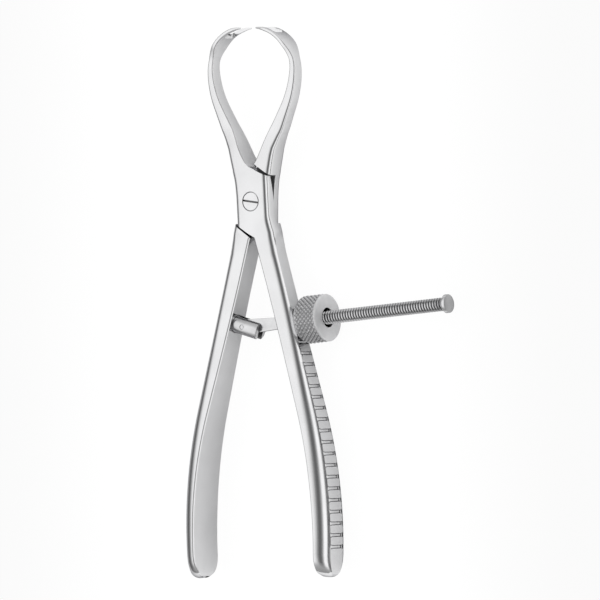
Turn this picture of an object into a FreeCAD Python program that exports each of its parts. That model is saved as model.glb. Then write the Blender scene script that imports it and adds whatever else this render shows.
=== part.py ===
import FreeCAD, Part
import math
import os
import Sketcher

# Patella forceps, in millimetres.
# The pair of levers lies flat: X to the side, Y along the instrument towards the jaws,
# Z up through the lap joint. The origin is on the pivot axis at the back face of the lap joint.

os.makedirs("parts", exist_ok=True)
doc = FreeCAD.newDocument("patella_forceps")
sheet = doc.addObject("Spreadsheet::Sheet", "sizes")

SIZES = [
    # lap joint
    ("lock_thickness", 9.0),
    ("lap_waist_width", 14.2),
    ("lap_corner_x", 6.8),
    ("lap_corner_y", 9.1),
    ("lap_low_corner_y", 8.2),
    ("lap_far_corner_x", 9.2),
    ("lap_far_corner_y", 14.6),
    ("lap_crotch_x", 0.7),
    ("lap_crotch_y", 12.6),
    ("lap_clearance", 0.06),
    ("shoulder_inner_x", 1.8),
    ("shoulder_inner_y", 13.5),
    ("shoulder_outer_x", 7.2),
    ("shoulder_outer_y", 9.9),
    ("shoulder_low_inner_x", 0.6),
    ("shoulder_low_inner_y", 13.2),
    ("shoulder_low_outer_x", 6.9),
    ("shoulder_low_outer_y", 8.7),
    ("shoulder_reach_upper", 1.8),
    ("shoulder_reach_lower", 1.6),
    ("plate_edge_round", 2.2),
    # jaw
    ("jaw_overlap", 3.0),
    ("jaw_root_x", 3.2),
    ("jaw_root_y", 10.5),
    ("jaw_lean", 25.8),
    ("jaw_straight", 25.8),
    ("jaw_bend_radius", 35.0),
    ("jaw_bend_angle", 22.0),
    ("jaw_bow_radius", 15.0),
    ("jaw_bow_angle", 92.0),
    ("jaw_root_thickness", 7.2),
    ("jaw_bow_thickness", 2.4),
    ("jaw_taper", 1.15),
    ("jaw_step_start", 0.2),
    ("jaw_step_end", 0.46),
    ("jaw_middle_width", 6.2),
    ("jaw_waist_width", 4.8),
    ("jaw_inner_bevel", 0.4),
    ("jaw_outer_bevel", 0.9),
    ("jaw_bevel_share", 0.28),
    ("fork_width", 8.9),
    ("prong_thickness", 1.4),
    ("prong_width", 1.4),
    ("prong_length", 7.0),
    ("fork_start", 18.0),
    ("fork_end", 42.0),
    # handle
    ("handle_lean", 16.26),
    ("handle_start_x", 0.98),
    ("handle_start_y", 13.28),
    ("handle_straight", 65.3),
    ("handle_curve_radius", 166.5),
    ("handle_length", 126.0),
    ("handle_overlap", 6.0),
    ("neck_along", 8.0),
    ("widening_start", 10.7),
    ("widening_end", 106.0),
    ("handle_root_thickness", 8.1),
    ("handle_neck_thickness", 7.2),
    ("handle_tip_thickness", 5.14),
    ("grip_width", 16.0),
    ("handle_bevel", 0.5),
    ("root_side_depth", 6.0),
    ("neck_side_depth", 4.1),
    ("grip_side_depth", 0.7),
    ("root_flat_width", 4.6),
    ("neck_flat_width", 6.0),
    ("grip_flat_width", 7.8),
    ("crown_fullness", 0.14),
    # grip grooves
    ("groove_count", 19),
    ("groove_pitch", 4.08),
    ("groove_first", 41.5),
    ("groove_radius", 0.7),
    ("groove_depth", 0.5),
    ("groove_length", 6.4),
    # pivot screw
    ("screw_head_diameter", 7.1),
    ("screw_head_thickness", 1.8),
    ("screw_shank_diameter", 4.4),
    ("screw_thread_diameter", 3.6),
    ("screw_slot_width", 0.7),
    ("screw_slot_depth", 0.8),
    ("screw_slot_turn", -8.0),
    ("running_clearance", 0.04),
    # forked post and its pin
    ("post_along", 32.1),
    ("post_diameter", 6.6),
    ("post_length", 10.6),
    ("post_chamfer", 0.4),
    ("post_spotface_diameter", 7.8),
    ("post_spotface_depth", 0.4),
    ("post_stem_diameter", 3.8),
    ("post_stem_length", 4.2),
    ("pin_height", 4.2),
    ("pin_diameter", 1.8),
    ("tongue_thickness", 2.6),
    ("tongue_side_clearance", 0.1),
    ("eye_radius", 2.8),
    ("eye_clearance", 0.35),
    # spindle
    ("spindle_tilt", 4.5),
    ("spindle_diameter", 4.9),
    ("spindle_length", 86.7),
    ("tongue_length", 14.6),
    ("tongue_end_height", 4.1),
    ("stub_diameter", 2.6),
    ("stub_length", 1.2),
    ("button_diameter", 6.7),
    ("button_length", 1.8),
    ("button_dome", 0.35),
    ("slot_clearance", 0.35),
    ("open_swing", 12.0),
    # nut and washer
    ("washer_seat_gap", 0.25),
    ("washer_diameter", 13.0),
    ("washer_dome_radius", 15.0),
    ("washer_rim", 0.35),
    ("nut_face_gap", 0.05),
    ("nut_diameter", 17.6),
    ("nut_length", 10.3),
    ("nut_inner_chamfer", 1.5),
    ("nut_outer_chamfer", 0.5),
    ("nut_counterbore_diameter", 7.0),
    ("nut_counterbore_depth", 3.0),
]
for row, (name, value) in enumerate(SIZES, start=1):
    sheet.set("A%d" % row, name)
    sheet.set("B%d" % row, str(value))
    sheet.setAlias("B%d" % row, name)
doc.recompute()

UP = FreeCAD.Vector(0, 0, 1)
ORIGIN = FreeCAD.Vector(0, 0, 0)


def size(name):
    """The value of one cell of the sheet."""
    return float(sheet.get(name))


def vec(x, y, z=0.0):
    return FreeCAD.Vector(x, y, z)


def lean(degrees):
    """Unit vector along +X turned up by the given angle."""
    return vec(math.cos(math.radians(degrees)), math.sin(math.radians(degrees)))


def smooth(share):
    """Ease from 0 to 1 with level ends."""
    share = min(max(share, 0.0), 1.0)
    return share * share * (3 - 2 * share)


def between(first, last, share):
    """Expression for a size that lies between two cells of the sheet."""
    return "sizes.%s + (sizes.%s - sizes.%s) * %.4f" % (first, last, first, share)


# The middle plane of the lap joint. Each lever is drawn about it and lifted to its place.
half_lock = size("lock_thickness") / 2


# Bodies, sketches and features.


def new_body(name):
    body = doc.addObject("PartDesign::Body", name)
    body.Label = name
    return body


def new_sketch(body, name, place=None, role="XY_Plane"):
    """A sketch on one of the body's own origin planes, moved off it by a placement."""
    plane = next(item for item in body.Origin.OriginFeatures if item.Role == role)
    sketch = body.newObject("Sketcher::SketchObject", name)
    sketch.AttachmentSupport = [(plane, "")]
    sketch.MapMode = "FlatFace"
    if place is not None:
        sketch.AttachmentOffset = place
    return sketch


def read(rule):
    """The number that an expression on the sheet gives."""
    return float(sheet.evalExpression(rule))


def bind(sketch, kind, items, rule):
    """Add a dimension to a sketch and bind it to an expression."""
    index = sketch.addConstraint(Sketcher.Constraint(kind, *items, read(rule)))
    sketch.setExpression("Constraints[%d]" % index, rule)


def pin_point(sketch, item, end, rules):
    """Fix one end of a line or arc at a place given by two expressions."""
    for axis, kind, rule in ((-2, "DistanceX", rules[0]), (-1, "DistanceY", rules[1])):
        if rule == "0":
            sketch.addConstraint(Sketcher.Constraint("PointOnObject", item, end, axis))
        else:
            bind(sketch, kind, (-1, 1, item, end), rule)


def profile(sketch, corners, bulges=None):
    """A closed outline through corners given by expressions.

    A bulge, keyed by the number of the corner it starts from, is a point that an arc passes.
    """
    bulges = bulges or {}
    spots = [vec(read(across), read(up)) for across, up in corners]
    edges = []
    for index, spot in enumerate(spots):
        following = spots[(index + 1) % len(spots)]
        if index in bulges:
            middle = vec(read(bulges[index][0]), read(bulges[index][1]))
            arc = sketch.addGeometry(Part.Arc(spot, middle, following), False)
            starts_here = sketch.getPoint(arc, 1).distanceToPoint(spot) < 1e-6
            ends = (1, 2) if starts_here else (2, 1)
            edges.append((arc, ends))
        else:
            edges.append((sketch.addGeometry(Part.LineSegment(spot, following), False), (1, 2)))
    for index, (edge, ends) in enumerate(edges):
        following, next_ends = edges[(index + 1) % len(edges)]
        sketch.addConstraint(Sketcher.Constraint("Coincident", edge, ends[1], following, next_ends[0]))
    for index, (edge, ends) in enumerate(edges):
        pin_point(sketch, edge, ends[0], corners[index])
    for index, rules in bulges.items():
        mark = sketch.addGeometry(Part.Point(vec(read(rules[0]), read(rules[1]))), True)
        pin_point(sketch, mark, 1, rules)
        sketch.addConstraint(Sketcher.Constraint("PointOnObject", mark, 1, edges[index][0]))


def ring(sketch, diameter, spot=None):
    """A circle, on the sketch's origin unless a place is given."""
    spot = spot or ORIGIN
    item = sketch.addGeometry(Part.Circle(spot, UP, read(diameter) / 2), False)
    bind(sketch, "Diameter", (item,), diameter)
    if spot.Length == 0:
        sketch.addConstraint(Sketcher.Constraint("Coincident", item, 3, -1, 1))
    return item


def finish_feature(body, feature, sketch):
    feature.Profile = sketch
    sketch.Visibility = False
    doc.recompute()
    return feature


def pad(body, name, sketch, length, middle=False):
    feature = body.newObject("PartDesign::Pad", name)
    feature.setExpression("Length", length)
    feature.Midplane = middle
    return finish_feature(body, feature, sketch)


def pocket(body, name, sketch, depth=None, middle=False):
    """Cut a sketch into the body, through everything where no depth is given."""
    before = body.Shape.Volume
    feature = body.newObject("PartDesign::Pocket", name)
    if depth is None:
        feature.Type = "ThroughAll"
    else:
        feature.setExpression("Length", depth)
    feature.Midplane = middle
    finish_feature(body, feature, sketch)
    if body.Shape.Volume > before - 0.01:
        raise RuntimeError("the cut %s took nothing away" % name)
    return feature


def turning(body, name, sketch, axis):
    """Turn a half section about one of the sketch's own axes."""
    feature = body.newObject("PartDesign::Revolution", name)
    feature.Profile = sketch
    feature.ReferenceAxis = (sketch, [axis])
    feature.Angle = 360
    sketch.Visibility = False
    doc.recompute()
    return feature


def facing(spot, across, outward):
    """A placement whose flat lies across and whose normal points outward."""
    return FreeCAD.Placement(spot, FreeCAD.Rotation(across, outward.cross(across), outward, "XYZ"))


# How many stretches the handle below its neck and the straight of the jaw are drawn in.
HANDLE_STEPS = 7
JAW_STEPS = 5

# Where the lever runs. A lever is drawn with its handle on the right and its jaw on the left,
# about the middle plane of the lap joint. The other lever is the same one turned over.


def handle_frame(along):
    """Inner edge, downward direction and outward normal of the handle at a distance along it."""
    tilt = size("handle_lean")
    straight = size("handle_straight")
    radius = size("handle_curve_radius")
    spot = vec(size("handle_start_x"), -size("handle_start_y"))
    down = vec(math.sin(math.radians(tilt)), -math.cos(math.radians(tilt)))
    spot = spot + down * min(along, straight)
    if along > straight:
        middle = spot - lean(tilt) * radius
        tilt = tilt - math.degrees((along - straight) / radius)
        spot = middle + lean(tilt) * radius
        down = vec(math.sin(math.radians(tilt)), -math.cos(math.radians(tilt)))
    return spot, down, lean(tilt)


def handle_thickness(along):
    """Expression for the handle's thickness: flared at its root, then an even taper."""
    neck = size("neck_along")
    share = (along - neck) / (size("handle_length") - neck)
    if share >= 0:
        return between("handle_neck_thickness", "handle_tip_thickness", share)
    return between("handle_neck_thickness", "handle_root_thickness", 1 - max(along, 0) / neck)


def handle_share(along):
    """How far the handle has widened from its neck to its full grip."""
    first = size("widening_start")
    return smooth((along - first) / (size("widening_end") - first))


def jaw_frame(along):
    """Centre, upward direction and outward normal of the jaw at a distance along it."""
    tilt = size("jaw_lean")
    straight = size("jaw_straight")
    bend = size("jaw_bend_radius") * math.radians(size("jaw_bend_angle"))
    spot = vec(-size("jaw_root_x"), size("jaw_root_y"))
    spot = spot + vec(-math.sin(math.radians(tilt)), math.cos(math.radians(tilt))) * min(along, straight)
    bow = size("jaw_bow_radius") * math.radians(size("jaw_bow_angle"))
    for start, length, radius in (
        (straight, bend, size("jaw_bend_radius")),
        (straight + bend, bow, size("jaw_bow_radius")),
    ):
        run = min(max(along - start, 0), length)
        middle = spot + lean(tilt) * radius
        tilt = tilt - math.degrees(run / radius)
        spot = middle - lean(tilt) * radius
    return spot, vec(-math.sin(math.radians(tilt)), math.cos(math.radians(tilt))), -lean(tilt)


def section(body, name, place, near, thickness, width, bevel, side_depth, flat_width, fullness=None):
    """An outline across a bar, with a flat near face, flat sides and a narrower far face.

    The sides run to the given depth. From there to the far face it is straight, or crowned where
    a fullness is given: the rise of the arc as a share of its chord.
    """
    sketch = new_sketch(body, name, place)
    half = "(%s) / 2" % width
    flat = "(%s) / 2" % flat_width
    side = "%s + %s" % (near, side_depth)
    far = "%s + %s" % (near, thickness)
    corners = [
        (near, "-(%s - %s)" % (half, bevel)),
        (near, "%s - %s" % (half, bevel)),
        ("%s + %s" % (near, bevel), half),
        (side, half),
        (far, flat),
        (far, "-" + flat),
        (side, "-" + half),
        ("%s + %s" % (near, bevel), "-" + half),
    ]
    bulges = {}
    if fullness is not None:
        across = "(%s + %s) / 2 + (%s - %s) * %s" % (side, far, half, flat, fullness)
        up = "(%s + %s) / 2 + (%s - (%s)) * %s" % (half, flat, far, side, fullness)
        bulges = {3: (across, up), 5: (across, "-(%s)" % up)}
    profile(sketch, corners, bulges)
    return sketch


def loft(body, name, sections):
    feature = body.newObject("PartDesign::AdditiveLoft", name)
    feature.Profile = sections[0]
    feature.Sections = sections[1:]
    for sketch in sections:
        sketch.Visibility = False
    doc.recompute()
    return feature


def add_lap_plate(body):
    """The half-thick plate that turns against the other lever's plate."""
    face = FreeCAD.Placement(vec(0, 0, size("lap_clearance") / 2), FreeCAD.Rotation())
    sketch = new_sketch(body, "lap_outline", face)
    corners = [
        ("sizes.lap_corner_x", "sizes.lap_corner_y"),
        ("-sizes.lap_crotch_x", "sizes.lap_crotch_y"),
        ("-sizes.lap_far_corner_x", "sizes.lap_far_corner_y"),
        ("-sizes.lap_corner_x", "-sizes.lap_low_corner_y"),
        ("sizes.handle_start_x", "-sizes.handle_start_y"),
        ("sizes.lap_far_corner_x", "-sizes.lap_far_corner_y"),
    ]
    waist = "sizes.lap_waist_width / 2"
    profile(sketch, corners, {2: ("-" + waist, "0"), 5: (waist, "0")})
    plate = pad(body, "lap_plate", sketch, "(sizes.lock_thickness - sizes.lap_clearance) / 2")
    # The two long sides of the plate have soft edges at the front.
    top = size("lock_thickness") / 2
    sides = [
        "Edge%d" % number
        for number, edge in enumerate(plate.Shape.Edges, start=1)
        if edge.BoundBox.ZMin > top - 0.01 and isinstance(edge.Curve, Part.Circle)
    ]
    softened = body.newObject("PartDesign::Fillet", "plate_edges")
    softened.Base = (plate, sides)
    softened.setExpression("Radius", "sizes.plate_edge_round")
    doc.recompute()


def add_handle(body):
    neck = size("neck_along")
    rest = size("handle_length") - neck
    steps = [-size("handle_overlap"), 0, neck / 2]
    steps += [neck + rest * number / HANDLE_STEPS for number in range(HANDLE_STEPS + 1)]
    sections = []
    for number, along in enumerate(steps):
        spot, down, outward = handle_frame(along)
        share = handle_share(along)
        side = between("neck_side_depth", "grip_side_depth", share)
        flat = between("neck_flat_width", "grip_flat_width", share)
        if along < neck:
            root = 1 - max(along, 0) / neck
            side = between("neck_side_depth", "root_side_depth", root)
            flat = between("neck_flat_width", "root_flat_width", root)
        sections.append(section(
            body, "handle_section_%d" % number, facing(spot, outward, down), "0",
            handle_thickness(along), between("lock_thickness", "grip_width", share),
            "sizes.handle_bevel", "(%s)" % side, flat, "sizes.crown_fullness"))
    loft(body, "handle_bar", sections)


def jaw_sizes(along, bow_start):
    """Expressions for the jaw's thickness and its width at a distance along it."""
    turned = math.degrees((along - bow_start) / size("jaw_bow_radius"))
    if turned > 0:
        spread = smooth((turned - size("fork_start")) / (size("fork_end") - size("fork_start")))
        thinning = min(turned / size("fork_end"), 1)
        return (between("jaw_bow_thickness", "prong_thickness", thinning),
                between("jaw_waist_width", "fork_width", spread))
    share = max(along / bow_start, 0)
    thickness = between("jaw_bow_thickness", "jaw_root_thickness", (1 - share) ** size("jaw_taper"))
    step = (share - size("jaw_step_start")) / (size("jaw_step_end") - size("jaw_step_start"))
    if step < 1:
        return thickness, between("lock_thickness", "jaw_middle_width", smooth(step))
    rest = (share - size("jaw_step_end")) / (1 - size("jaw_step_end"))
    return thickness, between("jaw_middle_width", "jaw_waist_width", rest)


def add_jaw(body):
    straight = size("jaw_straight")
    bow_start = straight + size("jaw_bend_radius") * math.radians(size("jaw_bend_angle"))
    degree = math.radians(size("jaw_bow_radius"))
    spread_middle = (size("fork_start") + size("fork_end")) / 2
    prong_middle = (size("fork_end") + size("jaw_bow_angle")) / 2
    steps = [-size("jaw_overlap")]
    steps += [straight * number / JAW_STEPS for number in range(1, JAW_STEPS + 1)]
    steps += [(straight + bow_start) / 2, bow_start]
    for angle in (size("fork_start"), spread_middle, size("fork_end"), prong_middle, size("jaw_bow_angle")):
        steps.append(bow_start + angle * degree)
    sections = []
    for number, along in enumerate(steps):
        spot, upward, outward = jaw_frame(along)
        thickness, width = jaw_sizes(along, bow_start)
        share = "(%s) * sizes.jaw_bevel_share" % thickness
        inner = "min(sizes.jaw_inner_bevel; %s)" % share
        outer = "min(sizes.jaw_outer_bevel; %s)" % share
        sections.append(section(
            body, "jaw_section_%d" % number, facing(spot, outward, upward),
            "-(%s) / 2" % thickness, thickness, width, inner,
            "(%s - %s)" % (thickness, outer), "%s - 2 * %s" % (width, outer)))
    loft(body, "jaw_bar", sections)


def cut_lap_recess(body):
    """Clear the back of the lever between its two shoulders for the other lever's plate."""
    face = FreeCAD.Placement(vec(0, 0, size("lap_clearance") / 2), FreeCAD.Rotation())
    sketch = new_sketch(body, "lap_recess_outline", face)
    upper = ("sizes.shoulder_outer_x", "sizes.shoulder_outer_y",
             "sizes.shoulder_inner_x", "sizes.shoulder_inner_y")
    lower = ("sizes.shoulder_low_outer_x", "sizes.shoulder_low_outer_y",
             "sizes.shoulder_low_inner_x", "sizes.shoulder_low_inner_y")

    def beyond(outer_x, outer_y, inner_x, inner_y, reach):
        """A point on the shoulder line, at a number of its own lengths from its outer end."""
        across = "%s + (%s - %s) * %g" % (outer_x, inner_x, outer_x, reach)
        up = "%s + (%s - %s) * %g" % (outer_y, inner_y, outer_y, reach)
        return across, up

    upper_out = beyond(*upper, -1)
    upper_in = beyond(*upper, size("shoulder_reach_upper"))
    lower_out = beyond(*lower, -1)
    lower_in = beyond(*lower, size("shoulder_reach_lower"))
    corners = [
        ("-(%s)" % upper_out[0], upper_out[1]),
        ("-(%s)" % upper_in[0], upper_in[1]),
        (lower_out[0], upper_in[1]),
        (lower_out[0], "-(%s)" % lower_out[1]),
        (lower_in[0], "-(%s)" % lower_in[1]),
        ("-(%s)" % upper_out[0], "-(%s)" % lower_in[1]),
    ]
    profile(sketch, corners)
    pocket(body, "lap_recess", sketch)


def cut_fork(body):
    """Part the end of the jaw into two prongs with a round-bottomed slot."""
    level = size("jaw_root_y") + size("jaw_straight")
    # The plane's normal points down the lever, so a negative shift lifts the sketch.
    place = FreeCAD.Placement(vec(0, 0, -level - size("jaw_bow_radius")), FreeCAD.Rotation())
    sketch = new_sketch(body, "fork_outline", place, "XZ_Plane")
    tip = jaw_frame(jaw_end())[0].x
    crotch = "%.4f - sizes.prong_length" % tip
    half = "(sizes.fork_width / 2 - sizes.prong_width)"
    beyond = "%.4f + sizes.prong_length" % tip
    corners = [
        ("%s + %s" % (crotch, half), "-" + half),
        (beyond, "-" + half),
        (beyond, half),
        ("%s + %s" % (crotch, half), half),
    ]
    profile(sketch, corners, {3: (crotch, "0")})
    pocket(body, "fork_slot", sketch)


def jaw_end():
    bend = size("jaw_bend_radius") * math.radians(size("jaw_bend_angle"))
    bow = size("jaw_bow_radius") * math.radians(size("jaw_bow_angle"))
    return size("jaw_straight") + bend + bow


def cut_round_end(body):
    """Round the end of the handle, seen from the side of the instrument."""
    end = handle_frame(size("handle_length"))[0].y
    radius = "sizes.grip_width / 2"
    centre = "%.4f + %s" % (end, radius)
    wide = "sizes.grip_width"
    past = "%.4f - sizes.grip_width" % end
    sketch = new_sketch(body, "round_end_outline", None, "YZ_Plane")
    corners = [
        (centre, radius),
        (centre, wide),
        (past, wide),
        (past, "-" + wide),
        (centre, "-" + wide),
        (centre, "-" + radius),
    ]
    profile(sketch, corners, {5: ("%.4f" % end, "0")})
    pocket(body, "round_end", sketch, middle=True)


def cut_grip_grooves(body):
    """Cross grooves along the outer face, which leave the raised pads of the grip."""
    sketch = new_sketch(body, "groove_rings")
    for number in range(int(size("groove_count"))):
        along = size("groove_first") + number * size("groove_pitch")
        spot, _, outward = handle_frame(along)
        reach = read(handle_thickness(along)) + size("groove_radius") - size("groove_depth")
        ring(sketch, "sizes.groove_radius * 2", spot + outward * reach)
    pocket(body, "grip_grooves", sketch, "sizes.groove_length", middle=True)


def build_lever(name):
    body = new_body(name)
    add_lap_plate(body)
    add_handle(body)
    add_jaw(body)
    cut_lap_recess(body)
    cut_fork(body)
    cut_round_end(body)
    cut_grip_grooves(body)
    return body


# The linkage. The post's pin and the middle of the slot in the other handle are equally far from
# the pivot, so the spindle always passes the middle of the slot and turns half as far as the lever.

lift = vec(0, 0, half_lock)
post_base, post_down, post_outward = handle_frame(size("post_along"))
pin_on_lever = post_base - post_outward * size("pin_height")
pin_spot = vec(-pin_on_lever.x, pin_on_lever.y)
spindle_way = lean(size("spindle_tilt"))
slot_spot = pin_spot + spindle_way * (-2 * pin_spot.dot(spindle_way))


def slot_place():
    """Where the middle of the slot lies: along the handle, and below its inner face."""
    base, down, outward = handle_frame(0)
    return (slot_spot - base).dot(down), (slot_spot - base).dot(outward)


def cut_spindle_slot(body):
    """The slot in the front lever's handle that the spindle passes, at all openings."""
    _, down, outward = handle_frame(0)
    along, depth = slot_place()
    rest = size("handle_lean") - size("spindle_tilt")
    thickness = read(handle_thickness(along))
    reach = size("spindle_diameter") / 2 + size("slot_clearance")
    upper = depth * math.tan(math.radians(rest + size("open_swing"))) + reach
    lower = (thickness - depth) * math.tan(math.radians(rest + size("open_swing"))) + reach
    width = size("spindle_diameter") + 2 * size("slot_clearance")
    place = facing(slot_spot + outward * thickness, down * -1, outward)
    sketch = new_sketch(body, "slot_outline", place)
    half = width / 2
    corners = [
        ("%.4f" % (upper - half), "-%.4f" % half),
        ("%.4f" % (upper - half), "%.4f" % half),
        ("-%.4f" % (lower - half), "%.4f" % half),
        ("-%.4f" % (lower - half), "-%.4f" % half),
    ]
    profile(sketch, corners, {0: ("%.4f" % upper, "0"), 2: ("-%.4f" % lower, "0")})
    pocket(body, "spindle_slot", sketch)


def drill(body, name, diameter, place, depth=None):
    """A round hole from the placed face, through everything where no depth is given."""
    sketch = new_sketch(body, name + "_ring", place)
    ring(sketch, diameter)
    return pocket(body, name, sketch, depth)


top_face = FreeCAD.Placement(vec(0, 0, half_lock), FreeCAD.Rotation())

# The front lever carries the jaw on the left and the handle on the right.
front_lever = build_lever("front_lever")
drill(front_lever, "screw_counterbore", "sizes.screw_head_diameter + 2 * sizes.running_clearance",
      top_face, "sizes.screw_head_thickness + sizes.running_clearance")
drill(front_lever, "screw_bore", "sizes.screw_shank_diameter + 2 * sizes.running_clearance", top_face)
cut_spindle_slot(front_lever)
front_lever.Placement = FreeCAD.Placement(lift, FreeCAD.Rotation())

# The rear lever is the same forging turned over, with a threaded plate and the forked post.
rear_lever = build_lever("rear_lever")
drill(rear_lever, "screw_thread", "sizes.screw_thread_diameter", top_face)
post_seat = facing(post_base, post_down, post_outward * -1)
drill(rear_lever, "post_spotface", "sizes.post_spotface_diameter", post_seat, "sizes.post_spotface_depth")
drill(rear_lever, "post_hole", "sizes.post_stem_diameter", post_seat,
      "sizes.post_spotface_depth + sizes.post_stem_length")
turned_over = FreeCAD.Rotation(vec(0, 1, 0), 180)
rear_lever.Placement = FreeCAD.Placement(lift, turned_over)


def build_pivot_screw():
    """A shouldered screw: thread in the rear plate, plain shank and sunk head in the front one."""
    body = new_body("pivot_screw")
    sketch = new_sketch(body, "screw_half_section", None, "XZ_Plane")
    thread = "sizes.screw_thread_diameter / 2"
    shank = "sizes.screw_shank_diameter / 2"
    head = "sizes.screw_head_diameter / 2"
    shoulder = "(sizes.lock_thickness - sizes.lap_clearance) / 2"
    under_head = "sizes.lock_thickness - sizes.screw_head_thickness"
    profile(sketch, [
        ("0", "0"), (thread, "0"), (thread, shoulder), (shank, shoulder), (shank, under_head),
        (head, under_head), (head, "sizes.lock_thickness"), ("0", "sizes.lock_thickness"),
    ])
    turning(body, "screw_turned", sketch, "V_Axis")
    turn = FreeCAD.Rotation(UP, size("screw_slot_turn"))
    face = FreeCAD.Placement(vec(0, 0, size("lock_thickness")), turn)
    slot = new_sketch(body, "driver_slot_outline", face)
    long_side = "sizes.screw_head_diameter"
    short_side = "sizes.screw_slot_width / 2"
    profile(slot, [(long_side, short_side), ("-" + long_side, short_side),
                   ("-" + long_side, "-" + short_side), (long_side, "-" + short_side)])
    pocket(body, "driver_slot", slot, "sizes.screw_slot_depth")
    return body


def build_post():
    """The forked post: a turned stub, riveted in the rear lever, with a slot for the tongue."""
    body = new_body("forked_post")
    sketch = new_sketch(body, "post_half_section")
    radius = "sizes.post_diameter / 2"
    stem = "sizes.post_stem_diameter / 2"
    seat = "-sizes.post_spotface_depth"
    bottom = "-(sizes.post_spotface_depth + sizes.post_stem_length)"
    profile(sketch, [
        (bottom, "0"), (bottom, stem), (seat, stem), (seat, radius),
        ("sizes.post_length - sizes.post_chamfer", radius),
        ("sizes.post_length", radius + " - sizes.post_chamfer"), ("sizes.post_length", "0"),
    ])
    turning(body, "post_turned", sketch, "H_Axis")
    slot = new_sketch(body, "fork_gap_outline")
    floor = "sizes.pin_height - sizes.eye_radius - sizes.eye_clearance"
    ceiling = "sizes.post_length * 2"
    profile(slot, [(floor, "sizes.post_diameter"), (floor, "-sizes.post_diameter"),
                   (ceiling, "-sizes.post_diameter"), (ceiling, "sizes.post_diameter")])
    pocket(body, "fork_gap", slot, "sizes.tongue_thickness + 2 * sizes.tongue_side_clearance", middle=True)
    hole = new_sketch(body, "pin_hole_ring")
    ring(hole, "sizes.pin_diameter", vec(size("pin_height"), 0))
    pocket(body, "pin_hole", hole, middle=True)
    spot = turned_over.multVec(post_base)
    axis = turned_over.multVec(post_outward * -1)
    body.Placement = FreeCAD.Placement(spot + lift, FreeCAD.Rotation(vec(1, 0, 0), axis))
    return body


def build_pin():
    """The hinge pin, riveted and polished flush with the round post."""
    rod = doc.addObject("Part::Cylinder", "pin_rod")
    rod.setExpression("Radius", "sizes.pin_diameter / 2")
    rod.setExpression("Height", "sizes.post_diameter * 2")
    rod.Placement.Base = pin_spot + lift - vec(0, 0, size("post_diameter"))
    skin = doc.addObject("Part::Cylinder", "pin_trim")
    skin.setExpression("Radius", "sizes.post_diameter / 2")
    skin.setExpression("Height", "sizes.post_length * 2")
    axis = turned_over.multVec(post_outward * -1)
    skin.Placement = FreeCAD.Placement(
        pin_spot + lift - axis * size("post_length"), FreeCAD.Rotation(UP, axis))
    trimmed = doc.addObject("Part::Common", "hinge_pin")
    trimmed.Base = rod
    trimmed.Tool = skin
    trimmed.Label = "hinge_pin"
    return trimmed


spindle_place = FreeCAD.Placement(pin_spot + lift, FreeCAD.Rotation(vec(1, 0, 0), spindle_way))


def build_spindle():
    """The threaded rod with a flat tongue and an eye that turns on the hinge pin."""
    body = new_body("spindle")
    tongue = new_sketch(body, "tongue_outline")
    end = "sizes.tongue_end_height / 2"
    reach = "sizes.tongue_length + sizes.spindle_diameter / 2"
    profile(tongue, [("0", "-sizes.eye_radius"), (reach, "-" + end), (reach, end), ("0", "sizes.eye_radius")],
            {3: ("-sizes.eye_radius", "0")})
    pad(body, "tongue", tongue, "sizes.tongue_thickness", middle=True)
    rod = new_sketch(body, "rod_half_section")
    radius = "sizes.spindle_diameter / 2"
    shoulder = "sizes.spindle_diameter / 4"
    stub = "sizes.stub_diameter / 2"
    stub_end = "sizes.spindle_length + sizes.stub_length"
    profile(rod, [
        ("sizes.tongue_length", "0"), ("sizes.tongue_length", shoulder),
        ("sizes.tongue_length + " + shoulder, radius), ("sizes.spindle_length", radius),
        ("sizes.spindle_length", stub), (stub_end, stub), (stub_end, "0"),
    ])
    turning(body, "rod", rod, "H_Axis")
    hole = new_sketch(body, "eye_ring")
    ring(hole, "sizes.pin_diameter + 2 * sizes.running_clearance")
    pocket(body, "eye_bore", hole, middle=True)
    body.Placement = spindle_place
    return body


def build_button():
    """The domed stop on the end of the spindle, which keeps the nut from running off."""
    body = new_body("end_button")
    sketch = new_sketch(body, "button_half_section")
    radius = "sizes.button_diameter / 2"
    stub = "sizes.stub_diameter / 2"
    inner = "sizes.spindle_length"
    rim = "sizes.spindle_length + sizes.button_length - sizes.button_dome"
    tip = "sizes.spindle_length + sizes.button_length"
    floor = "sizes.spindle_length + sizes.stub_length"
    # The dome is part of a ball whose centre lies on the axis.
    ball = "((%s) ^ 2 + sizes.button_dome ^ 2) / (2 * sizes.button_dome)" % radius
    halfway = "%s - (%s - sqrt((%s) ^ 2 - (%s / 2) ^ 2))" % (tip, ball, ball, radius)
    profile(sketch, [(inner, stub), (inner, radius), (rim, radius), (tip, "0"), (floor, "0"), (floor, stub)],
            {2: (halfway, radius + " / 2")})
    turning(body, "button_turned", sketch, "H_Axis")
    body.Placement = spindle_place
    return body


# The domed washer bears on the outer face of the front lever's handle. The centre of its dome
# lies on the spindle, so the contact stays as the spindle tips in the slot.
slot_along, slot_depth = slot_place()
seat_reach = read(handle_thickness(slot_along)) - slot_depth
rest_tip = math.radians(size("handle_lean") - size("spindle_tilt"))
dome_reach = (size("washer_dome_radius") + seat_reach + size("washer_seat_gap")) / math.cos(rest_tip)
dome_centre = (slot_spot - pin_spot).Length + dome_reach
running_bore = "(sizes.spindle_diameter / 2 + sizes.running_clearance)"
washer_dome = "sqrt(sizes.washer_dome_radius ^ 2 - (%s) ^ 2)"
washer_back = "%.4f - %s + sizes.washer_rim" % (dome_centre, washer_dome % "sizes.washer_diameter / 2")


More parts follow.
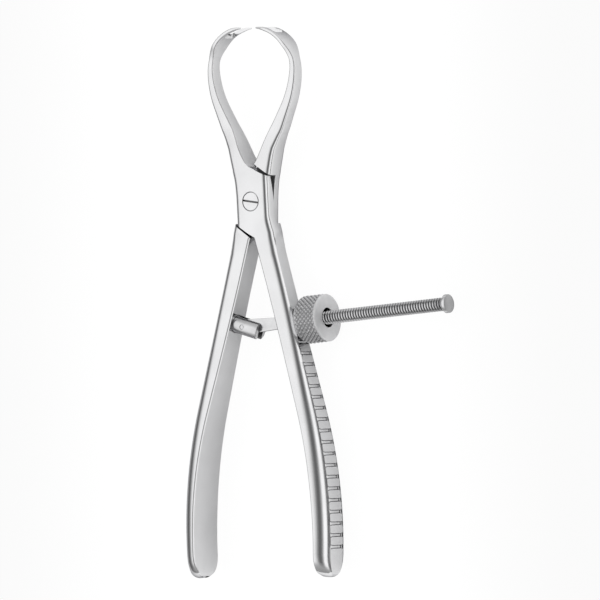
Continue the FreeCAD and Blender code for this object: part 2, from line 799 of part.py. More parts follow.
def build_washer():
    body = new_body("thrust_washer")
    sketch = new_sketch(body, "washer_half_section")
    rim = "sizes.washer_diameter / 2"
    middle = "(%s + %s) / 2" % (rim, running_bore)

    def dome(radius):
        return "%.4f - %s" % (dome_centre, washer_dome % radius)

    profile(sketch, [(dome(running_bore), running_bore), (dome(rim), rim), (washer_back, rim),
                     (washer_back, running_bore)], {0: (dome(middle), middle)})
    turning(body, "washer_turned", sketch, "H_Axis")
    body.Placement = spindle_place
    return body


def build_nut():
    """The round nut, counterbored at its outer end."""
    body = new_body("knurled_nut")
    sketch = new_sketch(body, "nut_half_section")
    inner = "%s + sizes.nut_face_gap" % washer_back
    outer = "%s + sizes.nut_length" % inner
    radius = "sizes.nut_diameter / 2"
    mouth = "sizes.nut_counterbore_diameter / 2"
    floor = outer + " - sizes.nut_counterbore_depth"
    profile(sketch, [
        (inner, running_bore), (inner, radius + " - sizes.nut_inner_chamfer"),
        (inner + " + sizes.nut_inner_chamfer", radius), (outer + " - sizes.nut_outer_chamfer", radius),
        (outer, radius + " - sizes.nut_outer_chamfer"), (outer, mouth), (floor, mouth),
        (floor, running_bore),
    ])
    turning(body, "nut_turned", sketch, "H_Axis")
    body.Placement = spindle_place
    return body


pieces = [
    front_lever, rear_lever, build_pivot_screw(), build_post(), build_pin(),
    build_spindle(), build_button(), build_washer(), build_nut(),
]
doc.recompute()

for item in doc.Objects:
    if "Invalid" in item.State or "Error" in item.State:
        raise RuntimeError("the feature %s failed" % item.Name)
for piece in pieces:
    if piece.Shape.isNull() or not piece.Shape.isValid() or len(piece.Shape.Solids) != 1:
        raise RuntimeError("the piece %s is not one sound solid" % piece.Label)
for piece in pieces:
    piece.Shape.exportStep("parts/%s.step" % piece.Label)
    box = piece.Shape.BoundBox
    print("%-14s volume %8.1f mm3, box %6.1f..%6.1f %7.1f..%6.1f %5.1f..%5.1f" % (
        piece.Label, piece.Shape.Volume, box.XMin, box.XMax, box.YMin, box.YMax, box.ZMin, box.ZMax))
print("hinge pin at X %.3f, Y %.3f" % (pin_spot.x, pin_spot.y))
print("spindle slot at X %.3f, Y %.3f, %.3f from the pin" % (
    slot_spot.x, slot_spot.y, (slot_spot - pin_spot).Length))
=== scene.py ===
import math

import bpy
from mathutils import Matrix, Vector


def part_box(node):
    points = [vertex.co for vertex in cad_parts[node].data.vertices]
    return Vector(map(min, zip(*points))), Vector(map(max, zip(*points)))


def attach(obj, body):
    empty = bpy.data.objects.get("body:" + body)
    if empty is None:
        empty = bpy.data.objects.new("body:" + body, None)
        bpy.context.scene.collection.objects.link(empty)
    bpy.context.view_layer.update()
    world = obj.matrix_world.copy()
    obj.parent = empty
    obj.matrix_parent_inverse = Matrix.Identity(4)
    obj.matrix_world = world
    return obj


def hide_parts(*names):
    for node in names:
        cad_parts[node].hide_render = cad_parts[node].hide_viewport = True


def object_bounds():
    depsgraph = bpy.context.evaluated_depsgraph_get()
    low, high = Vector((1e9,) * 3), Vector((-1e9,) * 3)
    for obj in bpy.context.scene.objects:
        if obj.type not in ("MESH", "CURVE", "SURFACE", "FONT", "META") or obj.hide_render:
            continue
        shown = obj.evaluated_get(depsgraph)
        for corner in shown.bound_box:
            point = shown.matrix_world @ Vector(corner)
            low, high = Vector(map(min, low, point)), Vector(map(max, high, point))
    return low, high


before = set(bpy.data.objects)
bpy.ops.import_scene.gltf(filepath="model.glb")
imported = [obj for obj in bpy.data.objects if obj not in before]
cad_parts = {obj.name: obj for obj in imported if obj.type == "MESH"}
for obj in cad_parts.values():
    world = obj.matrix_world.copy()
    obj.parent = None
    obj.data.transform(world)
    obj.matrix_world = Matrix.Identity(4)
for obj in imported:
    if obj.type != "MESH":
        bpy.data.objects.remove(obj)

# %% [markdown]
# Patella forceps in polished stainless steel.
# Two levers turn on a slotted pivot screw. A threaded spindle is hinged to the left handle,
# passes a slot in the right one, and a knurled nut on it draws the handles together.
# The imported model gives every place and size. Here each piece gets its real surface:
# rolled threads, a diamond knurl, soft ground edges and a satin polish.

box_of_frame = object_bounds()
MM = 0.001
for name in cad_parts:
    low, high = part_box(name)
    print(name, [round(c / MM, 1) for c in low], [round(c / MM, 1) for c in high])


# %% [markdown]
# The photograph looks at the front of the instrument from 34 degrees round to its right, with a
# long lens. The forceps lie on their back here, so the camera looks down at them, and its upper
# edge points along the instrument, towards the jaws. It could be placed by eye. Here it is worked
# out from the picture's scale of 2.77 pixels per millimetre, so sizes can be read off a render.

# %% Camera
VIEW_TURN = math.radians(34.0)
VIEW_ROLL = math.radians(1.25)
VIEW_DISTANCE = 5.0
IMAGE_WIDTH = 600
PIXELS_PER_MM = 2.7675
PICTURE_MIDDLE = Vector((17.6, -35.95, 4.5)) * MM
SENSOR_WIDTH = 36.0
CLIP_END = 20


def add_camera():
    level_right = Vector((math.cos(VIEW_TURN), 0, -math.sin(VIEW_TURN)))
    towards_camera = Vector((math.sin(VIEW_TURN), 0, math.cos(VIEW_TURN)))
    along_tool = Vector((0, 1, 0))
    right = level_right * math.cos(VIEW_ROLL) - along_tool * math.sin(VIEW_ROLL)
    up = level_right * math.sin(VIEW_ROLL) + along_tool * math.cos(VIEW_ROLL)
    data = bpy.data.cameras.new("view")
    picture_width = IMAGE_WIDTH / PIXELS_PER_MM * MM
    data.sensor_width = SENSOR_WIDTH
    # The scale holds in the middle plane of the instrument, a little behind the picture's middle.
    plane_distance = VIEW_DISTANCE + PICTURE_MIDDLE.x * math.sin(VIEW_TURN)
    data.lens = SENSOR_WIDTH * plane_distance / picture_width
    data.clip_end = CLIP_END
    camera = bpy.data.objects.new("view", data)
    bpy.context.scene.collection.objects.link(camera)
    turn = Matrix((right, up, towards_camera)).transposed()
    camera.matrix_world = Matrix.Translation(
        PICTURE_MIDDLE + towards_camera * VIEW_DISTANCE) @ turn.to_4x4()
    bpy.context.scene.camera = camera
    print("camera lens", round(data.lens, 1), "mm at", VIEW_DISTANCE, "m")


add_camera()


# %% [markdown]
# Polished steel has hardly any colour of its own: it shows the room. So the studio matters as
# much as the metal. It is built from a few nodes, and the helpers below set them and join them.

# %% Helpers for node trees
def shader(nodes, kind, **values):
    """A new shader node with some of its inputs set."""
    node = nodes.new(kind)
    for label, value in values.items():
        node.inputs[label.replace("_", " ")].default_value = value
    return node


def maths(tree, operation, first, second=None, clamp=False):
    """One step of arithmetic between sockets or numbers; gives the result's socket."""
    node = tree.nodes.new("ShaderNodeMath")
    node.operation = operation
    node.use_clamp = clamp
    for slot, value in zip(node.inputs, (first, second)):
        if value is None:
            continue
        if isinstance(value, (int, float)):
            slot.default_value = value
        else:
            tree.links.new(value, slot)
    return node.outputs[0]


def seen_directly(tree):
    """One for what the camera sees straight or through glass."""
    path = tree.nodes.new("ShaderNodeLightPath")
    return maths(tree, "ADD", path.outputs["Is Camera Ray"],
                 path.outputs["Is Transmission Ray"], clamp=True)


def ramp(tree, value, stops):
    """A smooth curve of brightness through the given (place, level) stops."""
    node = tree.nodes.new("ShaderNodeValToRGB")
    node.color_ramp.interpolation = "EASE"
    elements = node.color_ramp.elements
    while len(elements) < len(stops):
        elements.new(0.5)
    for element, (place, level) in zip(elements, stops):
        element.position = place
        element.color = (level, level, level, 1)
    tree.links.new(value, node.inputs[0])
    return node.outputs[0]


def spread(tree, value, low, high):
    """A mask from 0 at the low value to 1 at the high one, with eased ends."""
    node = shader(tree.nodes, "ShaderNodeMapRange", From_Min=low, From_Max=high)
    node.interpolation_type = "SMOOTHSTEP"
    tree.links.new(value, node.inputs["Value"])
    return node.outputs["Result"]


def mix_shaders(tree, share, first, second):
    node = tree.nodes.new("ShaderNodeMixShader")
    for slot, value in zip(node.inputs, (share, first, second)):
        tree.links.new(value, slot)
    return node.outputs[0]


# %% [markdown]
# The floor looks white to the camera and still keeps a faint shadow, because a small share of it
# is paper that the lamp lights. The metal sees the paper alone. Its brightness fades to the
# sides, which draws the dark line along the lower side of each crown.

# %% Floor
FLOOR_HALF_WIDTH = 3.0
FLOOR_WHITE_SHARE = 0.95
FLOOR_LEVELS = (0.90, 0.16)
FLOOR_FADE = (0.045, 0.13)


def add_floor():
    bpy.ops.object.select_all(action="DESELECT")
    lowest = box_of_frame[0][2]
    bpy.ops.mesh.primitive_plane_add(size=2 * FLOOR_HALF_WIDTH, location=(0, 0, lowest))
    floor = bpy.context.object
    floor.name = "floor"
    material = bpy.data.materials.new("white_floor")
    material.use_nodes = True
    tree = material.node_tree
    tree.nodes.clear()
    paper = tree.nodes.new("ShaderNodeBsdfDiffuse")
    place = tree.nodes.new("ShaderNodeTexCoord")
    split = tree.nodes.new("ShaderNodeSeparateXYZ")
    tree.links.new(place.outputs["Object"], split.inputs[0])
    near_end, far_end = FLOOR_FADE
    sideways = maths(tree, "ABSOLUTE", split.outputs["X"])
    dimming = ramp(tree, maths(tree, "MULTIPLY", sideways, 1 / far_end),
                   ((near_end / far_end, FLOOR_LEVELS[0]), (1.0, FLOOR_LEVELS[1])))
    tree.links.new(dimming, paper.inputs["Color"])
    white = shader(tree.nodes, "ShaderNodeEmission", Color=(1, 1, 1, 1), Strength=1.0)
    share = maths(tree, "MULTIPLY", seen_directly(tree), FLOOR_WHITE_SHARE)
    out = tree.nodes.new("ShaderNodeOutputMaterial")
    tree.links.new(mix_shaders(tree, share, paper.outputs[0], white.outputs[0]), out.inputs[0])
    floor.data.materials.append(material)
    print("floor at", round(lowest / MM, 2), "mm")


add_floor()


# %% [markdown]
# The room could be built of lamps and cards. One curve of brightness over the angle does the same
# with less noise, and is easier to move: a broad soft light on the left, a dark wall around the
# camera, and a bright strip low on the right. Flat faces turn an even light grey by it, and every
# rounded edge shows a dark line beside a bright one. Only gloss sees the curve: dull faces are
# lit by even air, and the camera sees plain white.

# %% The room that the metal mirrors
# Brightness over the angle from straight up, in degrees; left of the instrument is negative.
# The lens looks from 34 degrees, so flat faces mirror what is at -34 degrees.
ROOM_STRIP = ((-90, 0.24), (-76, 0.34), (-62, 1.00), (-48, 1.65), (-34, 1.84), (-18, 1.80),
              (-6, 1.60), (6, 1.10), (16, 0.52), (27, 0.24), (38, 0.24), (47, 0.50),
              (55, 1.10), (62, 2.00), (80, 2.00), (86, 0.90), (90, 0.25))
# Towards the ends of the instrument the room is dimmer.
ROOM_ENDS = ((0.0, 0.50), (0.10, 0.62), (0.30, 1.0), (0.75, 1.0), (0.93, 0.90), (1.0, 0.80))
ROOM_FAR = 1.15
ROOM_FAR_SPAN = (0.45, 0.88)
AIR_LEVEL = 1.35


def add_room():
    world = bpy.data.worlds.new("studio")
    bpy.context.scene.world = world
    world.use_nodes = True
    tree = world.node_tree
    tree.nodes.clear()
    place = tree.nodes.new("ShaderNodeTexCoord")
    split = tree.nodes.new("ShaderNodeSeparateXYZ")
    tree.links.new(place.outputs["Generated"], split.inputs[0])
    angle = maths(tree, "ARCTAN2", split.outputs["X"], split.outputs["Z"])
    share = maths(tree, "ADD", maths(tree, "MULTIPLY", angle, 1 / math.pi), 0.5, clamp=True)
    brightest = max(level for _, level in ROOM_STRIP)
    stops = [((degrees + 90) / 180, level / brightest) for degrees, level in ROOM_STRIP]
    strip = maths(tree, "MULTIPLY", ramp(tree, share, stops), brightest)
    upward = maths(tree, "ADD", maths(tree, "MULTIPLY", split.outputs["Y"], 0.5), 0.5)
    ends = ramp(tree, upward, ROOM_ENDS)
    # Far up and down the instrument the strip gives way to an even wall.
    far = spread(tree, maths(tree, "ABSOLUTE", split.outputs["Y"]), *ROOM_FAR_SPAN)
    near_part = maths(tree, "MULTIPLY", strip, maths(tree, "SUBTRACT", 1.0, far))
    far_part = maths(tree, "MULTIPLY", far, ROOM_FAR)
    level = maths(tree, "MULTIPLY", maths(tree, "ADD", near_part, far_part), ends)
    path = tree.nodes.new("ShaderNodeLightPath")
    mirrored = tree.nodes.new("ShaderNodeBackground")
    tree.links.new(level, mirrored.inputs["Strength"])
    air = shader(tree.nodes, "ShaderNodeBackground", Color=(1, 1, 1, 1), Strength=AIR_LEVEL)
    backdrop = shader(tree.nodes, "ShaderNodeBackground", Color=(1, 1, 1, 1), Strength=1.0)
    lit = mix_shaders(tree, path.outputs["Is Glossy Ray"], air.outputs[0], mirrored.outputs[0])
    out = tree.nodes.new("ShaderNodeOutputWorld")
    tree.links.new(mix_shaders(tree, seen_directly(tree), lit, backdrop.outputs[0]), out.inputs[0])
    print("room with", len(ROOM_STRIP), "stops, brightest", brightest)


add_room()


# %% [markdown]
# One large round lamp on the left softens the shadow and shapes the dull faces a little. Gloss
# doesn't see it, because the room already holds all that the metal mirrors.

# %% Lamp
KEY_TOWARDS = (-0.56, 0.0, 0.83)
KEY_DISTANCE = 1.6
KEY_WIDTH = 1.4
KEY_POWER = 8.0


def add_lamp(name, towards, distance, width, power):
    data = bpy.data.lights.new(name, "AREA")
    data.shape = "DISK"
    data.size = width
    data.energy = power
    lamp = bpy.data.objects.new(name, data)
    bpy.context.scene.collection.objects.link(lamp)
    way = Vector(towards).normalized()
    turn = way.to_track_quat("Z", "Y").to_matrix().to_4x4()
    lamp.matrix_world = Matrix.Translation(way * distance) @ turn
    lamp.visible_glossy = False
    print("lamp", name, power, "W")


add_lamp("key", KEY_TOWARDS, KEY_DISTANCE, KEY_WIDTH, KEY_POWER)
bpy.context.scene.view_settings.view_transform = "Standard"


# %% [markdown]
# Every piece starts as one face that is extruded from outline to outline, the way a bar is drawn.
# The helpers below do that, cut one piece with another, and put a finished piece in its place.
# Only the corners of each outline are placed in code, because no tool changes a section so freely.

# %% Helpers that draw a bar from outlines
def clear_selection():
    if bpy.context.object is not None and bpy.context.object.mode != "OBJECT":
        bpy.ops.object.mode_set(mode="OBJECT")
    bpy.ops.object.select_all(action="DESELECT")


def pick(piece):
    clear_selection()
    piece.select_set(True)
    bpy.context.view_layer.objects.active = piece


def drawn_bar(name, outlines):
    """A closed bar through outlines of equally many corners, from its first face to its last."""
    clear_selection()
    bpy.ops.mesh.primitive_circle_add(vertices=len(outlines[0]), radius=MM, fill_type="NGON")
    bar = bpy.context.object
    bar.name = name
    for vertex, spot in zip(bar.data.vertices, outlines[0]):
        vertex.co = spot
    for last, following in zip(outlines, outlines[1:]):
        bpy.ops.object.mode_set(mode="EDIT")
        bpy.ops.mesh.extrude_region_move()
        bpy.ops.object.mode_set(mode="OBJECT")
        for vertex in bar.data.vertices[-len(last):]:
            nearest = min(range(len(last)),
                          key=lambda corner: (last[corner] - vertex.co).length_squared)
            vertex.co = following[nearest]
    bpy.ops.object.mode_set(mode="EDIT")
    bpy.ops.mesh.select_all(action="SELECT")
    bpy.ops.mesh.normals_make_consistent(inside=False)
    bpy.ops.object.mode_set(mode="OBJECT")
    return bar


def circle(radius, height, corners=48):
    """An outline across the Z axis."""
    turns = [2 * math.pi * number / corners for number in range(corners)]
    return [Vector((radius * math.cos(turn), radius * math.sin(turn), height)) for turn in turns]


def turned(name, steps, corners=48):
    """A turned piece on the Z axis from pairs of height and radius, in millimetres."""
    return drawn_bar(name, [circle(radius * MM, height * MM, corners) for height, radius in steps])


def prism(name, corners, low, high):
    """A flat outline in millimetres, raised between two heights."""
    return drawn_bar(name, [[Vector((x, y, z)) * MM for x, y in corners] for z in (low, high)])


def band(reach, half):
    """Corners of a rectangle about the middle."""
    return ((-reach, -half), (reach, -half), (reach, half), (-reach, half))


def stadium(low, high, half, steps=12):
    """Corners of a slot outline along X with round ends."""
    corners = []
    for middle, start in ((high - half, -90), (low + half, 90)):
        for number in range(steps + 1):
            turn = math.radians(start + 180 * number / steps)
            corners.append((middle + half * math.cos(turn), half * math.sin(turn)))
    return corners


# %% Helpers that place, cut and finish a piece
SMOOTH_ANGLE = math.radians(17.0)
WELD = 0.000002


def settle(piece, place):
    """Move a piece to its place and keep that in its mesh."""
    pick(piece)
    piece.matrix_world = place
    bpy.ops.object.transform_apply(location=True, rotation=True, scale=True)


def combine(piece, tool, operation="DIFFERENCE", finish=None):
    """Cut one piece with another, or add it; the new faces may have a finish of their own."""
    if finish is not None:
        tool.data.materials.clear()
        tool.data.materials.append(finish)
    pick(piece)
    modifier = piece.modifiers.new("cut", "BOOLEAN")
    modifier.operation = operation
    modifier.solver = "EXACT"
    modifier.material_mode = "TRANSFER" if finish is not None else "INDEX"
    modifier.object = tool
    bpy.ops.object.modifier_apply(modifier=modifier.name)
    bpy.data.objects.remove(tool, do_unlink=True)


def join(pieces):
    clear_selection()
    for piece in pieces:
        piece.select_set(True)
    bpy.context.view_layer.objects.active = pieces[0]
    bpy.ops.object.join()
    return bpy.context.object


def finish_piece(piece, body, node, angle=SMOOTH_ANGLE):
    """Merge doubles, face outward, shade smooth up to an angle and take the node's place."""
    pick(piece)
    bpy.ops.object.mode_set(mode="EDIT")
    bpy.ops.mesh.select_all(action="SELECT")
    bpy.ops.mesh.remove_doubles(threshold=WELD)
    bpy.ops.mesh.normals_make_consistent(inside=False)
    bpy.ops.object.mode_set(mode="OBJECT")
    bpy.ops.object.shade_smooth_by_angle(angle=angle)
    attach(piece, body)
    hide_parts(node)
    print(piece.name, len(piece.data.vertices), "vertices,", len(piece.data.polygons), "faces")


# %% [markdown]
# All pieces are stainless steel, but each has its own finish. One node group makes the grain of
# grinding and polishing: fine scratches in one direction, cloudy patches where the polish is a
# little duller, and a few deeper marks. A second one makes the rings that a lathe leaves.

# %% Helpers for node groups
# The colour of the painted shade in grooves, thread roots and knurl valleys.
PAINTED_SHADE_COLOUR = (0.10, 0.10, 0.105, 1)
HOLLOW_ROUGHER = 0.15
FINISH_INPUTS = (("Vector", "NodeSocketVector", None), ("Painted shade and dullness", "NodeSocketFloat", 0.0),
                 ("Light", "NodeSocketColor", (0.6, 0.6, 0.6, 1)),
                 ("Dull", "NodeSocketColor", (0.5, 0.5, 0.5, 1)),
                 ("Smooth", "NodeSocketFloat", 0.15), ("Rough", "NodeSocketFloat", 0.3))
FINISH_OUTPUTS = (("Colour", "NodeSocketColor"), ("Roughness", "NodeSocketFloat"),
                  ("Height", "NodeSocketFloat"))


def new_group(name):
    group = bpy.data.node_groups.new(name, "ShaderNodeTree")
    for label, kind, value in FINISH_INPUTS:
        socket = group.interface.new_socket(label, in_out="INPUT", socket_type=kind)
        if value is not None:
            socket.default_value = value
    for label, kind in FINISH_OUTPUTS:
        group.interface.new_socket(label, in_out="OUTPUT", socket_type=kind)
    return group, group.nodes.new("NodeGroupInput"), group.nodes.new("NodeGroupOutput")


def noise(tree, vector, scale, detail, roughness=0.5):
    node = shader(tree.nodes, "ShaderNodeTexNoise", Scale=scale, Detail=detail, Roughness=roughness)
    tree.links.new(vector, node.inputs["Vector"])
    return node.outputs["Fac"]


def stretched(tree, vector, scale):
    node = tree.nodes.new("ShaderNodeMapping")
    node.inputs["Scale"].default_value = scale
    tree.links.new(vector, node.inputs["Vector"])
    return node.outputs["Vector"]


def mixed(tree, share, first, last):
    """A colour between two sockets or values."""
    node = tree.nodes.new("ShaderNodeMix")
    node.data_type = "RGBA"
    tree.links.new(share, node.inputs[0])
    for slot, value in ((node.inputs[6], first), (node.inputs[7], last)):
        if isinstance(value, tuple):
            slot.default_value = value
        else:
            tree.links.new(value, slot)
    return node.outputs[2]


def give_finish(group, given, out, share):
    """Colour and roughness between polished and dull; hollows get painted shade and a rougher
    finish.
    """
    painted_shade_and_dullness = given.outputs["Painted shade and dullness"]
    colour = mixed(group, share, given.outputs["Light"], given.outputs["Dull"])
    group.links.new(mixed(group, painted_shade_and_dullness, colour, PAINTED_SHADE_COLOUR), out.inputs["Colour"])
    width = maths(group, "SUBTRACT", given.outputs["Rough"], given.outputs["Smooth"])
    level = maths(group, "ADD", given.outputs["Smooth"], maths(group, "MULTIPLY", width, share))
    duller = maths(group, "MULTIPLY", painted_shade_and_dullness, HOLLOW_ROUGHER)
    level = maths(group, "ADD", level, duller, clamp=True)
    group.links.new(level, out.inputs["Roughness"])


def weighed(group, first, weight, second, other_weight, clamp=False):
    """The sum of two masks, each with its weight."""
    return maths(group, "ADD", maths(group, "MULTIPLY", first, weight),
                 maths(group, "MULTIPLY", second, other_weight), clamp=clamp)


# %% The grain of polishing
FINE_GRAIN = (9000, 260, 9000)
COARSE_GRAIN = (2600, 60, 2600)
STRAY_MARKS = (3200, 900, 3200)
POLISH_CLOUDS = 70.0


def polish_group():
    """Grain along Y, cloudy patches and stray marks, from Object coordinates."""
    group, given, out = new_group("polished_grain")
    vector = given.outputs["Vector"]
    fine = noise(group, stretched(group, vector, FINE_GRAIN), 1.0, 3, 0.6)
    coarse = noise(group, stretched(group, vector, COARSE_GRAIN), 1.0, 2)
    marks = noise(group, stretched(group, vector, STRAY_MARKS), 1.0, 1)
    rare = spread(group, marks, 0.68, 0.78)
    grain = weighed(group, fine, 0.55, coarse, 0.45)
    patch = spread(group, noise(group, vector, POLISH_CLOUDS, 3), 0.35, 0.68)
    share = weighed(group, patch, 0.55, grain, 0.45)
    share = maths(group, "ADD", share, maths(group, "MULTIPLY", rare, 0.3), clamp=True)
    give_finish(group, given, out, share)
    height = maths(group, "SUBTRACT", grain, maths(group, "MULTIPLY", rare, 0.6))
    group.links.new(height, out.inputs["Height"])
    return group


# %% The rings of turning
LATHE_RINGS = 5200.0
LATHE_CLOUDS = 260.0


def lathe_group():
    """Rings about the Z axis of the given coordinates, such as a lathe tool leaves."""
    group, given, out = new_group("lathe_rings")
    split = group.nodes.new("ShaderNodeSeparateXYZ")
    group.links.new(given.outputs["Vector"], split.inputs[0])
    square = maths(group, "ADD", maths(group, "POWER", split.outputs["X"], 2.0),
                   maths(group, "POWER", split.outputs["Y"], 2.0))
    join_up = group.nodes.new("ShaderNodeCombineXYZ")
    group.links.new(maths(group, "SQRT", square), join_up.inputs["X"])
    group.links.new(split.outputs["Z"], join_up.inputs["Y"])
    rings = noise(group, join_up.outputs[0], LATHE_RINGS, 2, 0.7)
    patch = spread(group, noise(group, given.outputs["Vector"], LATHE_CLOUDS, 3), 0.3, 0.7)
    give_finish(group, given, out, weighed(group, rings, 0.6, patch, 0.4, clamp=True))
    group.links.new(rings, out.inputs["Height"])
    return group


POLISH = polish_group()
LATHE = lathe_group()
print("node groups", POLISH.name, "and", LATHE.name)


# %% [markdown]
# Each steel is a Principled shader at full metal, fed by one of the two groups. The grain of a
# lever runs along its handle, and turned pieces need rings about their own axis, so a Mapping
# node carries each piece's place and turn. The dark tint at grazing angles keeps outlines crisp.
# The painted_shade_and_dullness attribute paints shade into roots and grooves, and makes them a
# little rougher. It could be painted by hand, but a rule by depth puts it just where the shape is
# hollow.

# %% The steels
EDGE_TINT = (0.30, 0.30, 0.31, 1)
SCRATCH_DEPTH = 0.00002


def grey(level):
    return (level, level, level * 1.01, 1)


def make_steel(name, finish, light, dull, smooth_level, rough_level, bump,
               turn=0.0, middle=(0, 0, 0), upright=False):
    """A steel whose grain is turned about Z, or whose rings lie about a level axis."""
    material = bpy.data.materials.new(name)
    material.use_nodes = True
    tree = material.node_tree
    surface = tree.nodes["Principled BSDF"]
    surface.inputs["Metallic"].default_value = 1
    surface.inputs["Specular Tint"].default_value = EDGE_TINT
    place = tree.nodes.new("ShaderNodeTexCoord")
    mapping = tree.nodes.new("ShaderNodeMapping")
    mapping.vector_type = "TEXTURE"
    mapping.inputs["Location"].default_value = Vector(middle) * MM
    mapping.inputs["Rotation"].default_value = (0, math.radians(90) if upright else 0, turn)
    tree.links.new(place.outputs["Object"], mapping.inputs["Vector"])
    group = tree.nodes.new("ShaderNodeGroup")
    group.node_tree = finish
    tree.links.new(mapping.outputs["Vector"], group.inputs["Vector"])
    group.inputs["Light"].default_value = grey(light)
    group.inputs["Dull"].default_value = grey(dull)
    group.inputs["Smooth"].default_value = smooth_level
    group.inputs["Rough"].default_value = rough_level
    # This attribute paints shade into hollows and makes them rougher.
    painted_shade_and_dullness = tree.nodes.new("ShaderNodeAttribute")
    painted_shade_and_dullness.attribute_name = "painted_shade_and_dullness"
    tree.links.new(painted_shade_and_dullness.outputs["Fac"], group.inputs["Painted shade and dullness"])
    relief = shader(tree.nodes, "ShaderNodeBump", Strength=bump, Distance=SCRATCH_DEPTH)
    tree.links.new(group.outputs["Height"], relief.inputs["Height"])
    tree.links.new(group.outputs["Colour"], surface.inputs["Base Color"])
    tree.links.new(group.outputs["Roughness"], surface.inputs["Roughness"])
    tree.links.new(relief.outputs["Normal"], surface.inputs["Normal"])
    return material


def dress(piece, material):
    piece.data.materials.clear()
    piece.data.materials.append(material)
    return piece


def mark_painted_shade_and_dullness(piece, shade_of):
    """Store on the corners of each face how much painted shade and dullness it gets, from 0 to 1."""
    marks = piece.data.attributes.new("painted_shade_and_dullness", "FLOAT", "CORNER")
    for face in piece.data.polygons:
        for corner in face.loop_indices:
            spot = piece.data.vertices[piece.data.loops[corner].vertex_index].co / MM
            marks.data[corner].value = min(max(shade_of(face, spot), 0.0), 1.0)


pin_low, pin_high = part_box("hinge_pin")
PIN_MIDDLE = (Vector(pin_low) + Vector(pin_high)) / 2 / MM
HANDLE_LEAN = 16.26
SPINDLE_LEAN = 4.5
GRAIN_LEAN = math.radians(8)
POST_AXIS = (math.radians(-HANDLE_LEAN), PIN_MIDDLE, True)
SPINDLE_AXIS = (math.radians(SPINDLE_LEAN), PIN_MIDDLE, True)

# Light and dull level, smooth and rough level, and the strength of the relief.
LEVER_FINISH = (POLISH, 0.60, 0.545, 0.09, 0.19, 0.25)
FRONT_STEEL = make_steel("satin_lever_steel", *LEVER_FINISH, GRAIN_LEAN)
REAR_STEEL = make_steel("satin_rear_lever_steel", *LEVER_FINISH, -GRAIN_LEAN)
# Cut faces are painted dark as shade in slots, recesses and bores, and are rougher as milled.
MILLED_SHADE_STEEL = make_steel("milled_steel_painted_shade", LATHE, 0.16, 0.10, 0.30, 0.45, 0.3)
SCREW_STEEL = make_steel("faced_screw_steel", LATHE, 0.62, 0.54, 0.12, 0.24, 0.2)
POST_STEEL = make_steel("turned_post_steel", LATHE, 0.56, 0.46, 0.14, 0.28, 0.3, *POST_AXIS)
THREAD_STEEL = make_steel("rolled_thread_steel", LATHE, 0.56, 0.46, 0.12, 0.24, 0.2, *SPINDLE_AXIS)
BUTTON_STEEL = make_steel("button_steel", LATHE, 0.58, 0.50, 0.16, 0.28, 0.25, *SPINDLE_AXIS)
NUT_STEEL = make_steel("knurled_nut_steel", LATHE, 0.86, 0.76, 0.20, 0.32, 0.25, *SPINDLE_AXIS)
NUT_FACE_STEEL = make_steel("faced_nut_steel", LATHE, 0.70, 0.62, 0.55, 0.70, 0.3, *SPINDLE_AXIS)
print("steels:", ", ".join(steel.name for steel in bpy.data.materials if "steel" in steel.name))


# %% [markdown]
# A lever is one forging: grooved handle, half-thick lap plate and forked jaw. It is drawn as one
# bar from the end of the handle to the tips of the fork. Each outline is a rectangle between a
# left and a right point, with its own rounding at the left and at the right edges.

# %% One outline of a lever
ARC_STEPS = 8
LEAST_FULLNESS = 0.001


def smooth(share):
    share = min(max(share, 0.0), 1.0)
    return share * share * (3 - 2 * share)


def lean(degrees):
    return Vector((math.cos(math.radians(degrees)), math.sin(math.radians(degrees)), 0))


def table(stops, place):
    """A value between the given (place, value) stops."""
    for (low, first), (high, last) in zip(stops, stops[1:]):
        if place <= high:
            return first + (last - first) * max(place - low, 0) / (high - low)
    return stops[-1][1]


def quarter(reach, drop, fullness):
    """Points from the top flat to the side wall of a corner, as distances in and down."""
    chord = Vector((reach, drop))
    rise = max(fullness, LEAST_FULLNESS) * chord.length
    radius = (chord.length ** 2 / 4 + rise ** 2) / (2 * rise)
    half_turn = math.asin(min(chord.length / 2 / radius, 1.0))
    along = chord.normalized()
    out = Vector((along.y, -along.x))
    points = []
    for number in range(ARC_STEPS + 1):
        turn = half_turn * (2 * number / ARC_STEPS - 1)
        height = rise - radius + radius * math.cos(turn)
        points.append(chord / 2 + along * radius * math.sin(turn) + out * height)
    return points


def outline(left, right, half, left_edge, right_edge):
    """The outline across a bar: each edge is how far it reaches in, drops, and its fullness."""
    across = (right - left).normalized()
    upper = [left + across * (left_edge[0] - spot.x) + Vector((0, 0, half - spot.y))
             for spot in reversed(quarter(*left_edge))]
    upper += [right - across * (right_edge[0] - spot.x) + Vector((0, 0, half - spot.y))
              for spot in quarter(*right_edge)]
    lower = [Vector((spot.x, spot.y, -spot.z)) for spot in reversed(upper)]
    return [spot * MM for spot in upper + lower]


# %% [markdown]
# The handle runs straight down from the lap joint and then bends inwards along one arc. It grows
# deeper towards its end, while its flat front turns into a broad crown. A sculptor's tools could
# push that into place, but a few smooth curves over the length keep both levers alike.

# %% The handle's outlines
HANDLE_START = Vector((0.98, -13.28, 0))
HANDLE_STRAIGHT = 65.3
HANDLE_RADIUS = 166.5
HANDLE_LENGTH = 125.75
NECK = 8.0
LOCK_HALF = 4.5
GRIP_HALF = 8.0
END_ROUND = 2.3
HANDLE_BEVEL = (0.5, 0.5, 0.03)
CROWN = 0.14
WIDENING = (10.7, 95.3)
# How far the front stays flat from the inner edge, and half the width of the flat outer side,
# where the handle begins, at its neck and at its end.
FRONT_FLAT = (6.0, 4.1, 0.7)
SIDE_FLAT = (2.3, 3.0, 3.9)
THICKNESS = ((0, 8.1), (NECK, 7.2), (HANDLE_LENGTH, 5.14))
END_CROWN_LOSS = 0.6


